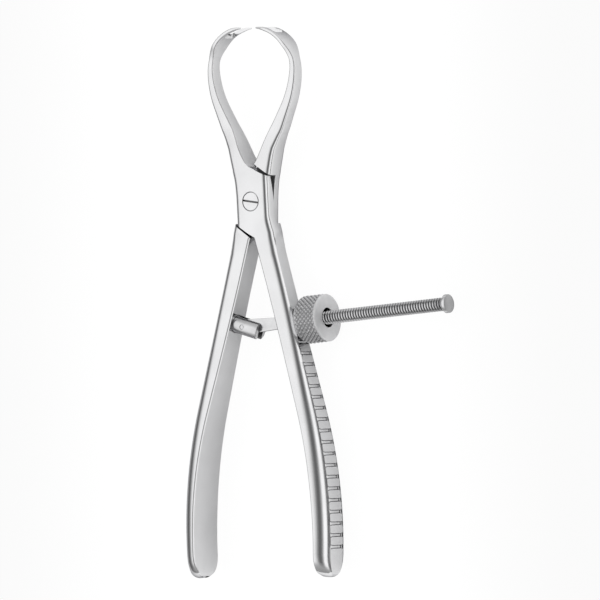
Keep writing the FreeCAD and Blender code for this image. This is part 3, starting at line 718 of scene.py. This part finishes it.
def handle_frame(along):
    """Inner edge, downward direction and outward normal of the handle."""
    tilt = HANDLE_LEAN
    down = Vector((math.sin(math.radians(tilt)), -math.cos(math.radians(tilt)), 0))
    spot = HANDLE_START + down * min(along, HANDLE_STRAIGHT)
    if along > HANDLE_STRAIGHT:
        middle = spot - lean(tilt) * HANDLE_RADIUS
        tilt -= math.degrees((along - HANDLE_STRAIGHT) / HANDLE_RADIUS)
        spot = middle + lean(tilt) * HANDLE_RADIUS
        down = Vector((math.sin(math.radians(tilt)), -math.cos(math.radians(tilt)), 0))
    return spot, down, lean(tilt)


def handle_thickness(along):
    return table(THICKNESS, along)


def widening(along):
    start, length = WIDENING
    return smooth((along - start) / length)


def handle_width(widths, along):
    """A width given at the handle's beginning, neck and end."""
    first, neck, last = widths
    return table(((0, first), (NECK, neck)), along) + (last - neck) * widening(along)


def handle_outline(along):
    spot, _, outward = handle_frame(along)
    thickness = handle_thickness(along)
    half = LOCK_HALF + (GRIP_HALF - LOCK_HALF) * widening(along)
    side = handle_width(FRONT_FLAT, along)
    flat = handle_width(SIDE_FLAT, along)
    # The end is round from the side of the instrument, and softly rounded from the front.
    past = max(along - (HANDLE_LENGTH - GRIP_HALF), 0) / GRIP_HALF
    narrowing = math.sqrt(max(1 - past ** 2, 0.0))
    short = max(along - (HANDLE_LENGTH - END_ROUND), 0)
    inset = END_ROUND - math.sqrt(max(END_ROUND ** 2 - short ** 2, 0))
    reach = (thickness - side) * (1 - inset / END_ROUND * END_CROWN_LOSS)
    crown = (reach, (half - flat) * narrowing, CROWN)
    bevel = (HANDLE_BEVEL[0], HANDLE_BEVEL[1] * narrowing, HANDLE_BEVEL[2])
    return outline(spot + outward * inset, spot + outward * (thickness - inset),
                   half * narrowing, bevel, crown)


END_STEPS = (0.05, 0.2, 0.6, 1.2, 2.0, 3.0, 4.2, 5.8, 8.0)
HANDLE_STEPS = 46
handle_places = [HANDLE_LENGTH - short for short in END_STEPS]
handle_places += [(HANDLE_LENGTH - END_STEPS[-1]) * (1 - number / HANDLE_STEPS)
                  for number in range(1, HANDLE_STEPS + 1)]
print(len(handle_places), "outlines along the handle")


# %% [markdown]
# Between handle and jaw lies the lap plate. Its lower and upper ends are straight cuts across the
# rounded long edges, so along each end the rounding is met at an ever lower place. A Boolean cut
# would do too, but outlines that follow the cut keep the bar in one piece.

# %% The lap plate's outlines
PLATE_ROUND = 2.2
LOW_CORNER = Vector((-6.8, -8.2, 0))
HIGH_CORNER = Vector((6.8, 9.1, 0))
CROTCH = Vector((-0.7, 12.6, 0))
QUARTER_ROUND = 0.207
PLATE_EDGE = (PLATE_ROUND, PLATE_ROUND, QUARTER_ROUND)
SHARP_EDGE = (0.12, 0.12, 0.03)
LEAST_DROP = 0.05
HANDLE_CROWN_REACH = 2.1
# Distance along the cut from its corner, and the place on the plate's other long side.
LOW_CUT = ((6.2, 8.34, -9.5), (3.6, 7.85, -7.9), (2.2, 7.6, -6.95), (1.4, 7.48, -6.4),
           (0.8, 7.4, -5.95), (0.3, 7.33, -5.55), (0.0, 7.29, -5.3))
HIGH_CUT = ((0.0, -7.58, 6.5), (0.3, -7.62, 6.8), (0.8, -7.67, 7.1), (1.4, -7.73, 7.5),
            (2.2, -7.82, 8.0), (4.0, -8.0, 8.8), (6.3, -8.2, 9.6), (8.2, -8.38, 10.3))
# Places on the left and on the right side.
PLATE_SIDES = ((-6.83, -6.6, 7.22, -3.9), (-6.9, -4.6, 7.14, -2.0), (-6.98, -2.4, 7.07, 0.2),
               (-7.05, -0.2, 7.0, 2.4), (-7.15, 2.0, 6.93, 4.6), (-7.32, 4.2, 6.86, 6.8),
               (-7.5, 5.9, 6.81, 8.5))


def cut_edge(distance):
    """The edge of a straight end, at a distance from the plate's long side."""
    rest = PLATE_ROUND - distance
    if rest <= SHARP_EDGE[0]:
        return SHARP_EDGE
    share = min(rest / PLATE_ROUND, 1)
    drop = PLATE_ROUND * (1 - math.sqrt(1 - share ** 2))
    return (rest, max(drop, LEAST_DROP), math.tan(math.asin(share) / 4) / 2)


def plate_outlines():
    found = []
    low_way = (HANDLE_START - LOW_CORNER).normalized()
    for number, (distance, x, y) in enumerate(LOW_CUT, start=1):
        share = number / len(LOW_CUT)
        crown = (HANDLE_CROWN_REACH + (PLATE_ROUND - HANDLE_CROWN_REACH) * share, PLATE_ROUND,
                 CROWN + (QUARTER_ROUND - CROWN) * share)
        left = LOW_CORNER + low_way * distance
        found.append(outline(left, Vector((x, y, 0)), LOCK_HALF, cut_edge(distance), crown))
    for x, y, far_x, far_y in PLATE_SIDES:
        found.append(outline(Vector((x, y, 0)), Vector((far_x, far_y, 0)), LOCK_HALF,
                             PLATE_EDGE, PLATE_EDGE))
    high_way = (CROTCH - HIGH_CORNER).normalized()
    for distance, x, y in HIGH_CUT:
        right = HIGH_CORNER + high_way * distance
        found.append(outline(Vector((x, y, 0)), right, LOCK_HALF, PLATE_EDGE, cut_edge(distance)))
    return found


print(len(plate_outlines()), "outlines through the lap plate")


# %% [markdown]
# The jaw leans outwards, bends back in a long curve and closes in a tight bow. It thins towards
# the tip, and near it grows deep again, because the fork's two prongs stand one above the other.
# Its middle line is one straight and two arcs, and the widths are read off tables along it.


# %% The jaw's outlines
JAW_ROOT = Vector((-3.2, 10.5, 0))
JAW_LEAN = 25.8
JAW_STRAIGHT = 25.8
JAW_BEND = (35.0, 22.0)
JAW_BOW = (15.0, 92.0)
BOW_START = JAW_STRAIGHT + JAW_BEND[0] * math.radians(JAW_BEND[1])
JAW_LENGTH = BOW_START + JAW_BOW[0] * math.radians(JAW_BOW[1])
JAW_OUTER = ((3, 4.45), (6.9, 3.45), (10.4, 2.65), (14.4, 2.42), (18.4, 2.45), (22.2, 2.13),
             (26, 1.8), (31, 1.6), (36, 1.4), (BOW_START, 1.25), (46, 1.0), (52, 0.75),
             (60, 0.68), (JAW_LENGTH, 0.25))
JAW_INNER = ((3, 2.6), (6, 2.35), (9, 2.35), (12, 2.5), (16, 2.55), (20, 2.2), (24.3, 1.95),
             (31, 1.6), (36, 1.35), (BOW_START, 1.2), (46, 0.95), (52, 0.7), (60, 0.6),
             (JAW_LENGTH, 0.2))
JAW_DEPTH = ((7, 4.5), (10, 4.3), (13, 3.75), (17, 3.1), (25, 2.9), (37, 2.65), (43, 2.4),
             (44.5, 2.5), (47, 3.3), (49.5, 4.2), (51.5, 4.4), (60, 4.4), (JAW_LENGTH, 3.8))
JAW_ROUND = ((3, 2.2), (8, 2.0), (14, 1.5), (25, 1.0), (40, 0.6), (52, 0.42), (60, 0.4),
             (JAW_LENGTH, 0.18))
JAW_INNER_ROUND = 0.5
JAW_ROUND_LIMIT = 0.45


def jaw_frame(along):
    """Middle of the jaw and its inward way at a distance from its root."""
    tilt = JAW_LEAN
    upward = Vector((-math.sin(math.radians(tilt)), math.cos(math.radians(tilt)), 0))
    spot = JAW_ROOT + upward * min(along, JAW_STRAIGHT)
    start = JAW_STRAIGHT
    for radius, turn in (JAW_BEND, JAW_BOW):
        length = radius * math.radians(turn)
        run = min(max(along - start, 0), length)
        middle = spot + lean(tilt) * radius
        tilt -= math.degrees(run / radius)
        spot = middle - lean(tilt) * radius
        start += length
    return spot, lean(tilt)


def jaw_outline(along):
    spot, inward = jaw_frame(along)
    outer = table(JAW_OUTER, along)
    inner = table(JAW_INNER, along)
    half = table(JAW_DEPTH, along)
    limit = JAW_ROUND_LIMIT * (outer + inner)
    big = min(table(JAW_ROUND, along), limit)
    small = min(JAW_INNER_ROUND, limit)
    return outline(spot - inward * outer, spot + inward * inner, half,
                   (big, big, QUARTER_ROUND), (small, small, QUARTER_ROUND))


JAW_FIRST = 3.0
JAW_STEP = 1.5
DEEP_START = 42.5
DEEP_STEPS = 22
jaw_places = [JAW_FIRST + JAW_STEP * number for number in range(27)]
jaw_places += [DEEP_START + (JAW_LENGTH - DEEP_START) * number / DEEP_STEPS
               for number in range(1, DEEP_STEPS + 1)]
print(len(jaw_places), "outlines along the jaw")


# %% [markdown]
# The same bar makes both levers, because the rear lever is the front one turned over. The back of
# the plate, the fork's slot and the grip's grooves are cut from it, as a toolmaker mills them.

# %% Cutting a lever
RECESS = ((-12.6, 6.3), (2.52, 16.38), (13.2, 16.38), (13.2, -4.2), (-3.18, -15.9),
          (-12.6, -15.9))
LAP_GAP = 0.03
BEYOND = 20
FORK_HALF = 4.45
PRONG = 1.3
FORK_DEPTH = 8.0
FORK_CORNER = 1.3
GROOVE_COUNT = 19
GROOVE_PITCH = 4.08
GROOVE_FIRST = 41.5
GROOVE_RADIUS = 0.72
GROOVE_DEPTH = 0.5
SHADE_BELOW = 0.04
SHADE_RADIUS = 0.95
SHADE_HALF = 4.2
SHADE_DARKEST = 0.95
GROOVE_FLARE = ((0.7, 0.70), (0.8, 0.74), (0.88, 0.86), (0.96, 0.92), (1.01, 0.72), (1.03, 0.3))
GROOVE_STEPS = [(-reach, radius) for reach, radius in reversed(GROOVE_FLARE)] + list(GROOVE_FLARE)


def fork_cutter():
    """A slot with rounded bottom corners that looks along the instrument."""
    tip = jaw_frame(JAW_LENGTH)[0].x
    half = FORK_HALF - PRONG
    bottom = tip - FORK_DEPTH
    corners = [(tip + BEYOND, -half), (tip + BEYOND, half)]
    for side, start in ((1, 90), (-1, 180)):
        for number in range(9):
            turn = math.radians(start + 90 * number / 8)
            corners.append((bottom + FORK_CORNER * (1 + math.cos(turn)),
                            side * (half - FORK_CORNER) + FORK_CORNER * math.sin(turn)))
    cutter = prism("fork_cutter", corners, -BEYOND, BEYOND)
    turn = Matrix.Rotation(math.radians(90), 4, "X")
    settle(cutter, Matrix.Translation(Vector((0, 3 * BEYOND, 0)) * MM) @ turn)
    return cutter


def groove_places():
    """For each groove the handle's inner edge, its outward way, thickness and the groove's axis."""
    for number in range(GROOVE_COUNT):
        along = GROOVE_FIRST + number * GROOVE_PITCH
        base, _, outward = handle_frame(along)
        thickness = handle_thickness(along)
        axis = base + outward * (thickness + GROOVE_RADIUS - GROOVE_DEPTH)
        yield base, outward, thickness, axis, handle_width(SIDE_FLAT, along)


def groove_cutters():
    """Round bars across the grip, flared at their ends, so that each pad gets rounded corners."""
    grooves = []
    for *_, axis, half in groove_places():
        steps = [(height * half, radius) for height, radius in GROOVE_STEPS]
        groove = turned("groove", steps, 24)
        settle(groove, Matrix.Translation(axis * MM))
        grooves.append(groove)
    return join(grooves)


def groove_shade(face, spot):
    """Painted shade along the edges of the grooves, on faces below the flat side."""
    middle = face.center / MM
    for base, outward, thickness, axis, _ in groove_places():
        offset = middle - axis
        below = thickness - (middle - base).dot(outward)
        close = math.hypot(offset.x, offset.y) < SHADE_RADIUS and abs(middle.z) < SHADE_HALF
        if close and below > SHADE_BELOW:
            depth = thickness - (spot - base).dot(outward)
            return SHADE_DARKEST - depth / (0.85 * GROOVE_DEPTH)
    return 0.0


def draw_lever(name, steel):
    """The whole forging, front side up, around the pivot's axis."""
    outlines = [handle_outline(along) for along in handle_places]
    outlines += plate_outlines()
    outlines += [jaw_outline(along) for along in jaw_places]
    lever = dress(drawn_bar(name, outlines), steel)
    # The recess's lap faces take the milled steel, with painted shade where the plates meet.
    combine(lever, prism("recess", RECESS, -BEYOND, LAP_GAP), finish=MILLED_SHADE_STEEL)
    combine(lever, fork_cutter())
    combine(lever, groove_cutters())
    mark_painted_shade_and_dullness(lever, groove_shade)
    return lever


LIFT = Matrix.Translation(Vector((0, 0, LOCK_HALF * MM)))
TURNED_OVER = Matrix.Rotation(math.pi, 4, "Y")


# %% [markdown]
# The front lever gets the sunk seat of the screw's head, and the slot through which the spindle
# passes and swings. Both are milled after forging, so both are cuts. A Boolean carries its own
# material into the cut, which leaves the slot's walls duller than the polished face and painted dark
# as shade.

# %% The front lever
SLOT_HALF = 2.8
SLOT_UP = 4.10
SLOT_DOWN = 4.48
SLOT_MIDDLE = Vector((12.945, -43.786, 0))
HEAD_RADIUS = 3.55
HEAD_PLAY = 0.04
HEAD_FLOOR = 2.64
SHANK_HOLE = 2.26


def along_x(way):
    """The turn that lays a piece from the Z axis along a flat direction."""
    way = way.normalized()
    return Matrix((Vector((-way.y, way.x, 0)), Vector((0, 0, 1)), way)).transposed().to_4x4()


front = draw_lever("front_lever_forging", FRONT_STEEL)
seat_radius = HEAD_RADIUS + HEAD_PLAY
combine(front, turned("screw_seat", ((HEAD_FLOOR, seat_radius), (6, seat_radius)), 64))
combine(front, turned("screw_hole", ((-2, SHANK_HOLE), (6, SHANK_HOLE)), 40))
slot_cutter = prism("spindle_slot", stadium(-SLOT_DOWN, SLOT_UP, SLOT_HALF), -9, 9)
slot_axes = (-handle_frame(0)[1], Vector((0, 0, 1)), lean(HANDLE_LEAN))
slot_turn = Matrix(slot_axes).transposed().to_4x4()
settle(slot_cutter, Matrix.Translation(SLOT_MIDDLE * MM) @ slot_turn)
combine(front, slot_cutter, finish=MILLED_SHADE_STEEL)
settle(front, LIFT)
finish_piece(front, "front", "front_lever")

# %% [markdown]
# The rear lever is the same forging turned over. Its plate takes the thread of the pivot screw,
# and its handle the rivet of the forked post, which stands in a shallow round seat.

# %% The rear lever
POST_ALONG = 32.1
POST_RADIUS = 3.3
THREAD_HOLE = 1.84
SEAT_RADIUS = 3.45
RIVET_HOLE = 1.95
post_base, _, post_outward = handle_frame(POST_ALONG)
rear = draw_lever("rear_lever_forging", REAR_STEEL)
combine(rear, turned("thread_hole", ((-2, THREAD_HOLE), (6, THREAD_HOLE)), 40))
seat_steps = ((-3, SEAT_RADIUS), (0.4, SEAT_RADIUS), (0.401, RIVET_HOLE), (4.6, RIVET_HOLE))
post_seat = turned("post_seat", seat_steps, 64)
settle(post_seat, Matrix.Translation(post_base * MM) @ along_x(post_outward))
combine(rear, post_seat, finish=MILLED_SHADE_STEEL)
settle(rear, LIFT @ TURNED_OVER)
finish_piece(rear, "rear", "rear_lever")

# %% [markdown]
# The pivot screw sits flush in the plate. Its head has a fine bevel, which shows as a dark ring
# beside the edge of its seat, and one milled slot. It is turned from a few steps of height and
# radius, as on a lathe, which is quicker to change than a stack of cylinders.

# %% Pivot screw
SCREW_STEPS = ((-4.5, 1.7), (-4.4, 1.8), (0.0, 1.8), (0.02, 2.2), (2.69, 2.2), (2.7, 3.45),
               (2.8, HEAD_RADIUS), (4.24, HEAD_RADIUS), (4.5, 3.2))
SCREW_SLOT_HALF = 0.35
SCREW_SLOT_FLOOR = 3.7
SCREW_TURN = math.radians(-8.0)

screw = dress(turned("slotted_screw", SCREW_STEPS, 64), SCREW_STEEL)
driver_slot = prism("driver_slot", band(5, SCREW_SLOT_HALF), SCREW_SLOT_FLOOR, 6)
combine(screw, driver_slot, finish=MILLED_SHADE_STEEL)
settle(screw, LIFT @ Matrix.Rotation(SCREW_TURN, 4, "Z"))
finish_piece(screw, "rear", "pivot_screw", math.radians(30))

# %% [markdown]
# The forked post is turned from round bar and riveted into the rear handle. The tongue of the
# spindle turns in its slot on a pin, whose polished ends lie flush in the round post.

# %% Forked post and hinge pin
POST_STEPS = ((-4.6, 1.8), (-4.5, 1.9), (-0.4, 1.9), (-0.39, 3.1), (-0.2, POST_RADIUS),
              (10.15, POST_RADIUS), (10.4, 3.22), (10.55, 3.05), (10.6, 2.85))
POST_GAP_HALF = 1.4
POST_GAP_FLOOR = 1.05
PIN_HEIGHT = 4.2
PIN_RADIUS = 0.9
PIN_END = ((3.15, 0.88), (3.25, 0.75), (3.3, 0.55))

post_way = Vector((post_outward.x, -post_outward.y, 0))
post_foot = Vector((-post_base.x, post_base.y, 0))
post_place = LIFT @ Matrix.Translation(post_foot * MM) @ along_x(post_way)
lying = Matrix.Rotation(math.radians(90), 4, "X")
pin_turn = Matrix.Translation(Vector((0, 0, PIN_HEIGHT)) * MM) @ lying

post = dress(turned("turned_post", POST_STEPS, 64), POST_STEEL)
combine(post, prism("fork_gap", band(5, POST_GAP_HALF), POST_GAP_FLOOR, 13), finish=MILLED_SHADE_STEEL)
hole = turned("pin_hole", ((-6, PIN_RADIUS), (6, PIN_RADIUS)), 32)
settle(hole, pin_turn)
combine(post, hole)
settle(post, post_place)
finish_piece(post, "rear", "forked_post", math.radians(30))

pin_steps = [(-reach, radius) for reach, radius in reversed(PIN_END)] + list(PIN_END)
pin = turned("riveted_pin", pin_steps, 32)
settle(pin, post_place @ pin_turn)
dress(pin, POST_STEEL)
finish_piece(pin, "rear", "hinge_pin", math.radians(40))


# %% [markdown]
# The spindle's thread is rolled, so it is a true helix. One pitch of its profile is drawn as a
# line and the Screw modifier sweeps it, each turn meeting the next. Its ends are cut off square.
# Stacked rings would look alike from afar, but would show no slant and no run-out.

# %% The thread
PITCH = 1.13
ROOT_FLAT = 0.08
CREST_FLAT = 0.14
THREAD_RADIUS = 2.45
THREAD_ROOT = 1.86
THREAD_START = 16.1
SPINDLE_LENGTH = 86.7
THREAD_TURNS = 64
THREAD_STEPS = 28
THREAD_MARGIN = 2
pin_place = LIFT @ Matrix.Translation((post_foot + post_way * PIN_HEIGHT) * MM)
spindle_turned = pin_place @ along_x(lean(SPINDLE_LEAN))
spindle_flat = pin_place @ Matrix.Rotation(math.radians(SPINDLE_LEAN), 4, "Z")


def rolled_thread():
    """A rod with a helical thread along Z, between its start and the spindle's end."""
    slope = (PITCH - 2 * ROOT_FLAT - CREST_FLAT) / 2
    middle = (THREAD_RADIUS + THREAD_ROOT) / 2
    past_crest = ROOT_FLAT + CREST_FLAT
    profile = ((0.0, THREAD_ROOT), (ROOT_FLAT, THREAD_ROOT),
               (ROOT_FLAT + slope / 2, middle), (ROOT_FLAT + slope, THREAD_RADIUS),
               (past_crest + slope, THREAD_RADIUS), (past_crest + slope * 1.5, middle),
               (past_crest + slope * 2, THREAD_ROOT), (PITCH, THREAD_ROOT))
    clear_selection()
    bpy.ops.mesh.primitive_circle_add(vertices=len(profile), radius=MM, fill_type="NOTHING")
    thread = bpy.context.object
    thread.name = "thread"
    first = THREAD_START - THREAD_MARGIN * PITCH
    for vertex, (height, radius) in zip(thread.data.vertices, profile):
        vertex.co = Vector((radius, 0, first + height)) * MM
    # The circle's last edge would close the profile, so it goes.
    bpy.ops.object.mode_set(mode="EDIT")
    bpy.ops.mesh.select_all(action="DESELECT")
    bpy.ops.object.mode_set(mode="OBJECT")
    last = len(profile) - 1
    for edge in thread.data.edges:
        edge.select = set(edge.vertices) == {0, last}
    bpy.ops.object.mode_set(mode="EDIT")
    bpy.ops.mesh.select_mode(type="EDGE")
    bpy.ops.mesh.delete(type="EDGE")
    bpy.ops.mesh.select_mode(type="VERT")
    bpy.ops.object.mode_set(mode="OBJECT")
    sweep = thread.modifiers.new("sweep", "SCREW")
    sweep.axis = "Z"
    sweep.screw_offset = PITCH * MM
    sweep.iterations = THREAD_TURNS + 2 * THREAD_MARGIN
    sweep.steps = THREAD_STEPS
    sweep.render_steps = THREAD_STEPS
    bpy.ops.object.modifier_apply(modifier=sweep.name)
    bpy.ops.object.mode_set(mode="EDIT")
    bpy.ops.mesh.select_all(action="SELECT")
    bpy.ops.mesh.remove_doubles(threshold=WELD)
    for height, way in ((THREAD_START, -1), (SPINDLE_LENGTH, 1)):
        bpy.ops.mesh.select_all(action="SELECT")
        bpy.ops.mesh.bisect(plane_co=(0, 0, height * MM), plane_no=(0, 0, way),
                            use_fill=False, clear_outer=True)
    bpy.ops.mesh.select_all(action="SELECT")
    bpy.ops.mesh.fill_holes(sides=0)
    bpy.ops.mesh.normals_make_consistent(inside=False)
    bpy.ops.object.mode_set(mode="OBJECT")
    return thread


def root_shade(_, spot):
    """Painted shade at the thread's root, fading to none on its crest."""
    across = math.hypot(spot.x, spot.y)
    return 1.3 * (THREAD_RADIUS - across) / (THREAD_RADIUS - THREAD_ROOT) - 0.1


thread = rolled_thread()
mark_painted_shade_and_dullness(thread, root_shade)
settle(thread, spindle_turned)
print("thread with", len(thread.data.polygons), "faces")

# %% [markdown]
# At the pin the round rod is forged into a flat tongue with an eye. The tongue is an outline
# raised to its thickness, its edges are softened by a Bevel modifier, and a turned collar leads
# over to the thread.

# %% Tongue and collar
TONGUE_HALF = 1.3
EYE_RADIUS = 2.8
EYE_HOLE = 0.94
EYE_STEPS = 16
TONGUE_END = 15.6
TONGUE_END_HALF = 2.05
TONGUE_SOFT = 0.18
COLLAR_STEPS = ((14.6, 1.25), (15.0, 1.75), (15.4, 2.1), (16.0, 2.35), (16.1, 2.35))

collar = turned("collar", COLLAR_STEPS, 48)
settle(collar, spindle_turned)
eye_turns = [math.radians(100 + 160 * number / EYE_STEPS) for number in range(EYE_STEPS + 1)]
tongue_outline = [(EYE_RADIUS * math.cos(turn), EYE_RADIUS * math.sin(turn)) for turn in eye_turns]
tongue_outline += [(TONGUE_END, -TONGUE_END_HALF), (TONGUE_END, TONGUE_END_HALF)]
tongue = prism("tongue", tongue_outline, -TONGUE_HALF, TONGUE_HALF)
combine(tongue, turned("eye_hole", ((-3, EYE_HOLE), (3, EYE_HOLE)), 32))
pick(tongue)
soften = tongue.modifiers.new("soften", "BEVEL")
soften.width = TONGUE_SOFT * MM
soften.segments = 2
soften.limit_method = "ANGLE"
bpy.ops.object.modifier_apply(modifier=soften.name)
settle(tongue, spindle_flat)
combine(tongue, collar, "UNION")
spindle = join([tongue, thread])
spindle.name = "threaded_spindle"
dress(spindle, THREAD_STEEL)
finish_piece(spindle, "spindle_arm", "spindle", math.radians(35))

# %% [markdown]
# The button on the spindle's end keeps the nut from running off. It is faced on a lathe and is
# slightly domed, which its last steps give.

# %% End button
BUTTON_STEPS = ((SPINDLE_LENGTH, 3.1), (86.78, 3.28), (86.95, 3.35), (88.0, 3.35), (88.14, 3.28),
                (88.2, 3.12), (88.32, 2.3), (88.42, 1.4), (88.48, 0.5), (88.49, 0.1))
button = turned("domed_button", BUTTON_STEPS, 64)
settle(button, spindle_turned)
dress(button, BUTTON_STEEL)
finish_piece(button, "spindle_arm", "end_button", math.radians(35))

# %% [markdown]
# The washer's round side lies against the handle, so it can tilt while the handles close. The
# dome is part of a sphere. A turned piece follows it exactly where its steps are taken from the
# circle's equation.

# %% Thrust washer
DOME_MIDDLE = 38.422
DOME_RADIUS = 15.0
DOME_STEPS = (0.5, 1.5, 2.5, 3.5, 4.5, 5.5, 6.2, 6.45)
WASHER_RIM = ((24.96, 6.5), (25.2, 6.5), (25.25, 6.42))
ROD_BORE = 2.52

washer_steps = [(DOME_MIDDLE - math.sqrt(DOME_RADIUS ** 2 - radius ** 2), radius)
                for radius in DOME_STEPS]
washer = turned("domed_washer", washer_steps + list(WASHER_RIM), 72)
combine(washer, turned("washer_bore", ((20, ROD_BORE), (30, ROD_BORE)), 48))
settle(washer, spindle_turned)
dress(washer, NUT_STEEL)
finish_piece(washer, "washer", "thrust_washer", math.radians(30))

# %% [markdown]
# The nut's knurl is a diamond pattern of small pyramids. The rim starts as rows of squares. Each
# square is poked, the old edges are dissolved, which leaves diamonds, and those are poked outwards.
# A bump map would be cheaper, but it would leave the nut's outline smooth.

# %% The nut's body
NUT_INNER = 25.305
NUT_OUTER = 35.605
KNURL_START = 26.55
KNURL_END = 35.0
KNURL_ROWS = 5
KNURL_AROUND = 32
KNURL_VALLEY = 8.34
KNURL_HEIGHT = 0.48

NUT_BACK = ((NUT_INNER, 7.3), (NUT_INNER + 0.15, 7.42))
NUT_FRONT = ((KNURL_END + 0.02, 8.6), (35.3, 8.62), (35.5, 8.5), (NUT_OUTER, 8.3))
COUNTERBORE = ((32.6, 3.5), (35.5, 3.5), (36.0, 4.0))

nut_steps = list(NUT_BACK)
nut_steps += [(KNURL_START + (KNURL_END - KNURL_START) * number / KNURL_ROWS, KNURL_VALLEY)
              for number in range(KNURL_ROWS + 1)]
nut_steps += NUT_FRONT
nut = dress(turned("knurled_nut_body", nut_steps, KNURL_AROUND), NUT_STEEL)
nut.data.materials.append(NUT_FACE_STEEL)
for face in nut.data.polygons:
    face.material_index = 0 if KNURL_START * MM <= face.center.z <= KNURL_END * MM else 1
combine(nut, turned("nut_bore", ((20, ROD_BORE), (40, ROD_BORE)), 48))
# The counterbore takes the milled steel, with painted shade in the bore.
combine(nut, turned("nut_counterbore", COUNTERBORE, 48), finish=MILLED_SHADE_STEEL)

# %% The knurl
RIM_DEPTH = 0.3


def rim_face(face):
    spot = face.center / MM
    across = math.hypot(spot.x, spot.y)
    return KNURL_START < spot.z < KNURL_END and across > KNURL_VALLEY - RIM_DEPTH


def diamond(face):
    return len(face.vertices) == 4 and rim_face(face) and abs(face.normal.z) < 0.2


def select_faces(piece, wanted):
    bpy.ops.object.mode_set(mode="EDIT")
    bpy.ops.mesh.select_all(action="DESELECT")
    bpy.ops.object.mode_set(mode="OBJECT")
    for face in piece.data.polygons:
        face.select = wanted(face)
    bpy.ops.object.mode_set(mode="EDIT")
    bpy.ops.mesh.select_mode(type="FACE")


pick(nut)
corners_before = len(nut.data.vertices)
select_faces(nut, rim_face)
bpy.ops.mesh.poke()
bpy.ops.mesh.select_all(action="DESELECT")
bpy.ops.mesh.select_mode(type="EDGE")
bpy.ops.object.mode_set(mode="OBJECT")
# The squares' old edges lie between two of the new triangles.
neighbours = {}
for face in nut.data.polygons:
    if len(face.vertices) == 3 and rim_face(face):
        for key in face.edge_keys:
            neighbours[key] = neighbours.get(key, 0) + 1
for edge in nut.data.edges:
    old_edge = max(edge.vertices) < corners_before
    edge.select = old_edge and neighbours.get(edge.key, 0) == 2
bpy.ops.object.mode_set(mode="EDIT")
bpy.ops.mesh.dissolve_edges(use_verts=False)
select_faces(nut, diamond)
bpy.ops.mesh.poke(offset=KNURL_HEIGHT * MM)
bpy.ops.mesh.select_mode(type="VERT")
bpy.ops.object.mode_set(mode="OBJECT")


VALLEY_DARKEST = 0.55


def valley_shade(face, spot):
    """Painted shade in the knurl's valleys, up to half the height of a pyramid."""
    if not rim_face(face):
        return 0.0
    above = math.hypot(spot.x, spot.y) - KNURL_VALLEY
    return VALLEY_DARKEST - VALLEY_DARKEST * above / (0.5 * KNURL_HEIGHT)


mark_painted_shade_and_dullness(nut, valley_shade)
radii = [math.hypot(vertex.co.x, vertex.co.y) / MM for vertex in nut.data.vertices]
print("nut's greatest radius", round(max(radii), 2), "mm")
settle(nut, spindle_turned)
finish_piece(nut, "nut", "knurled_nut", math.radians(20))
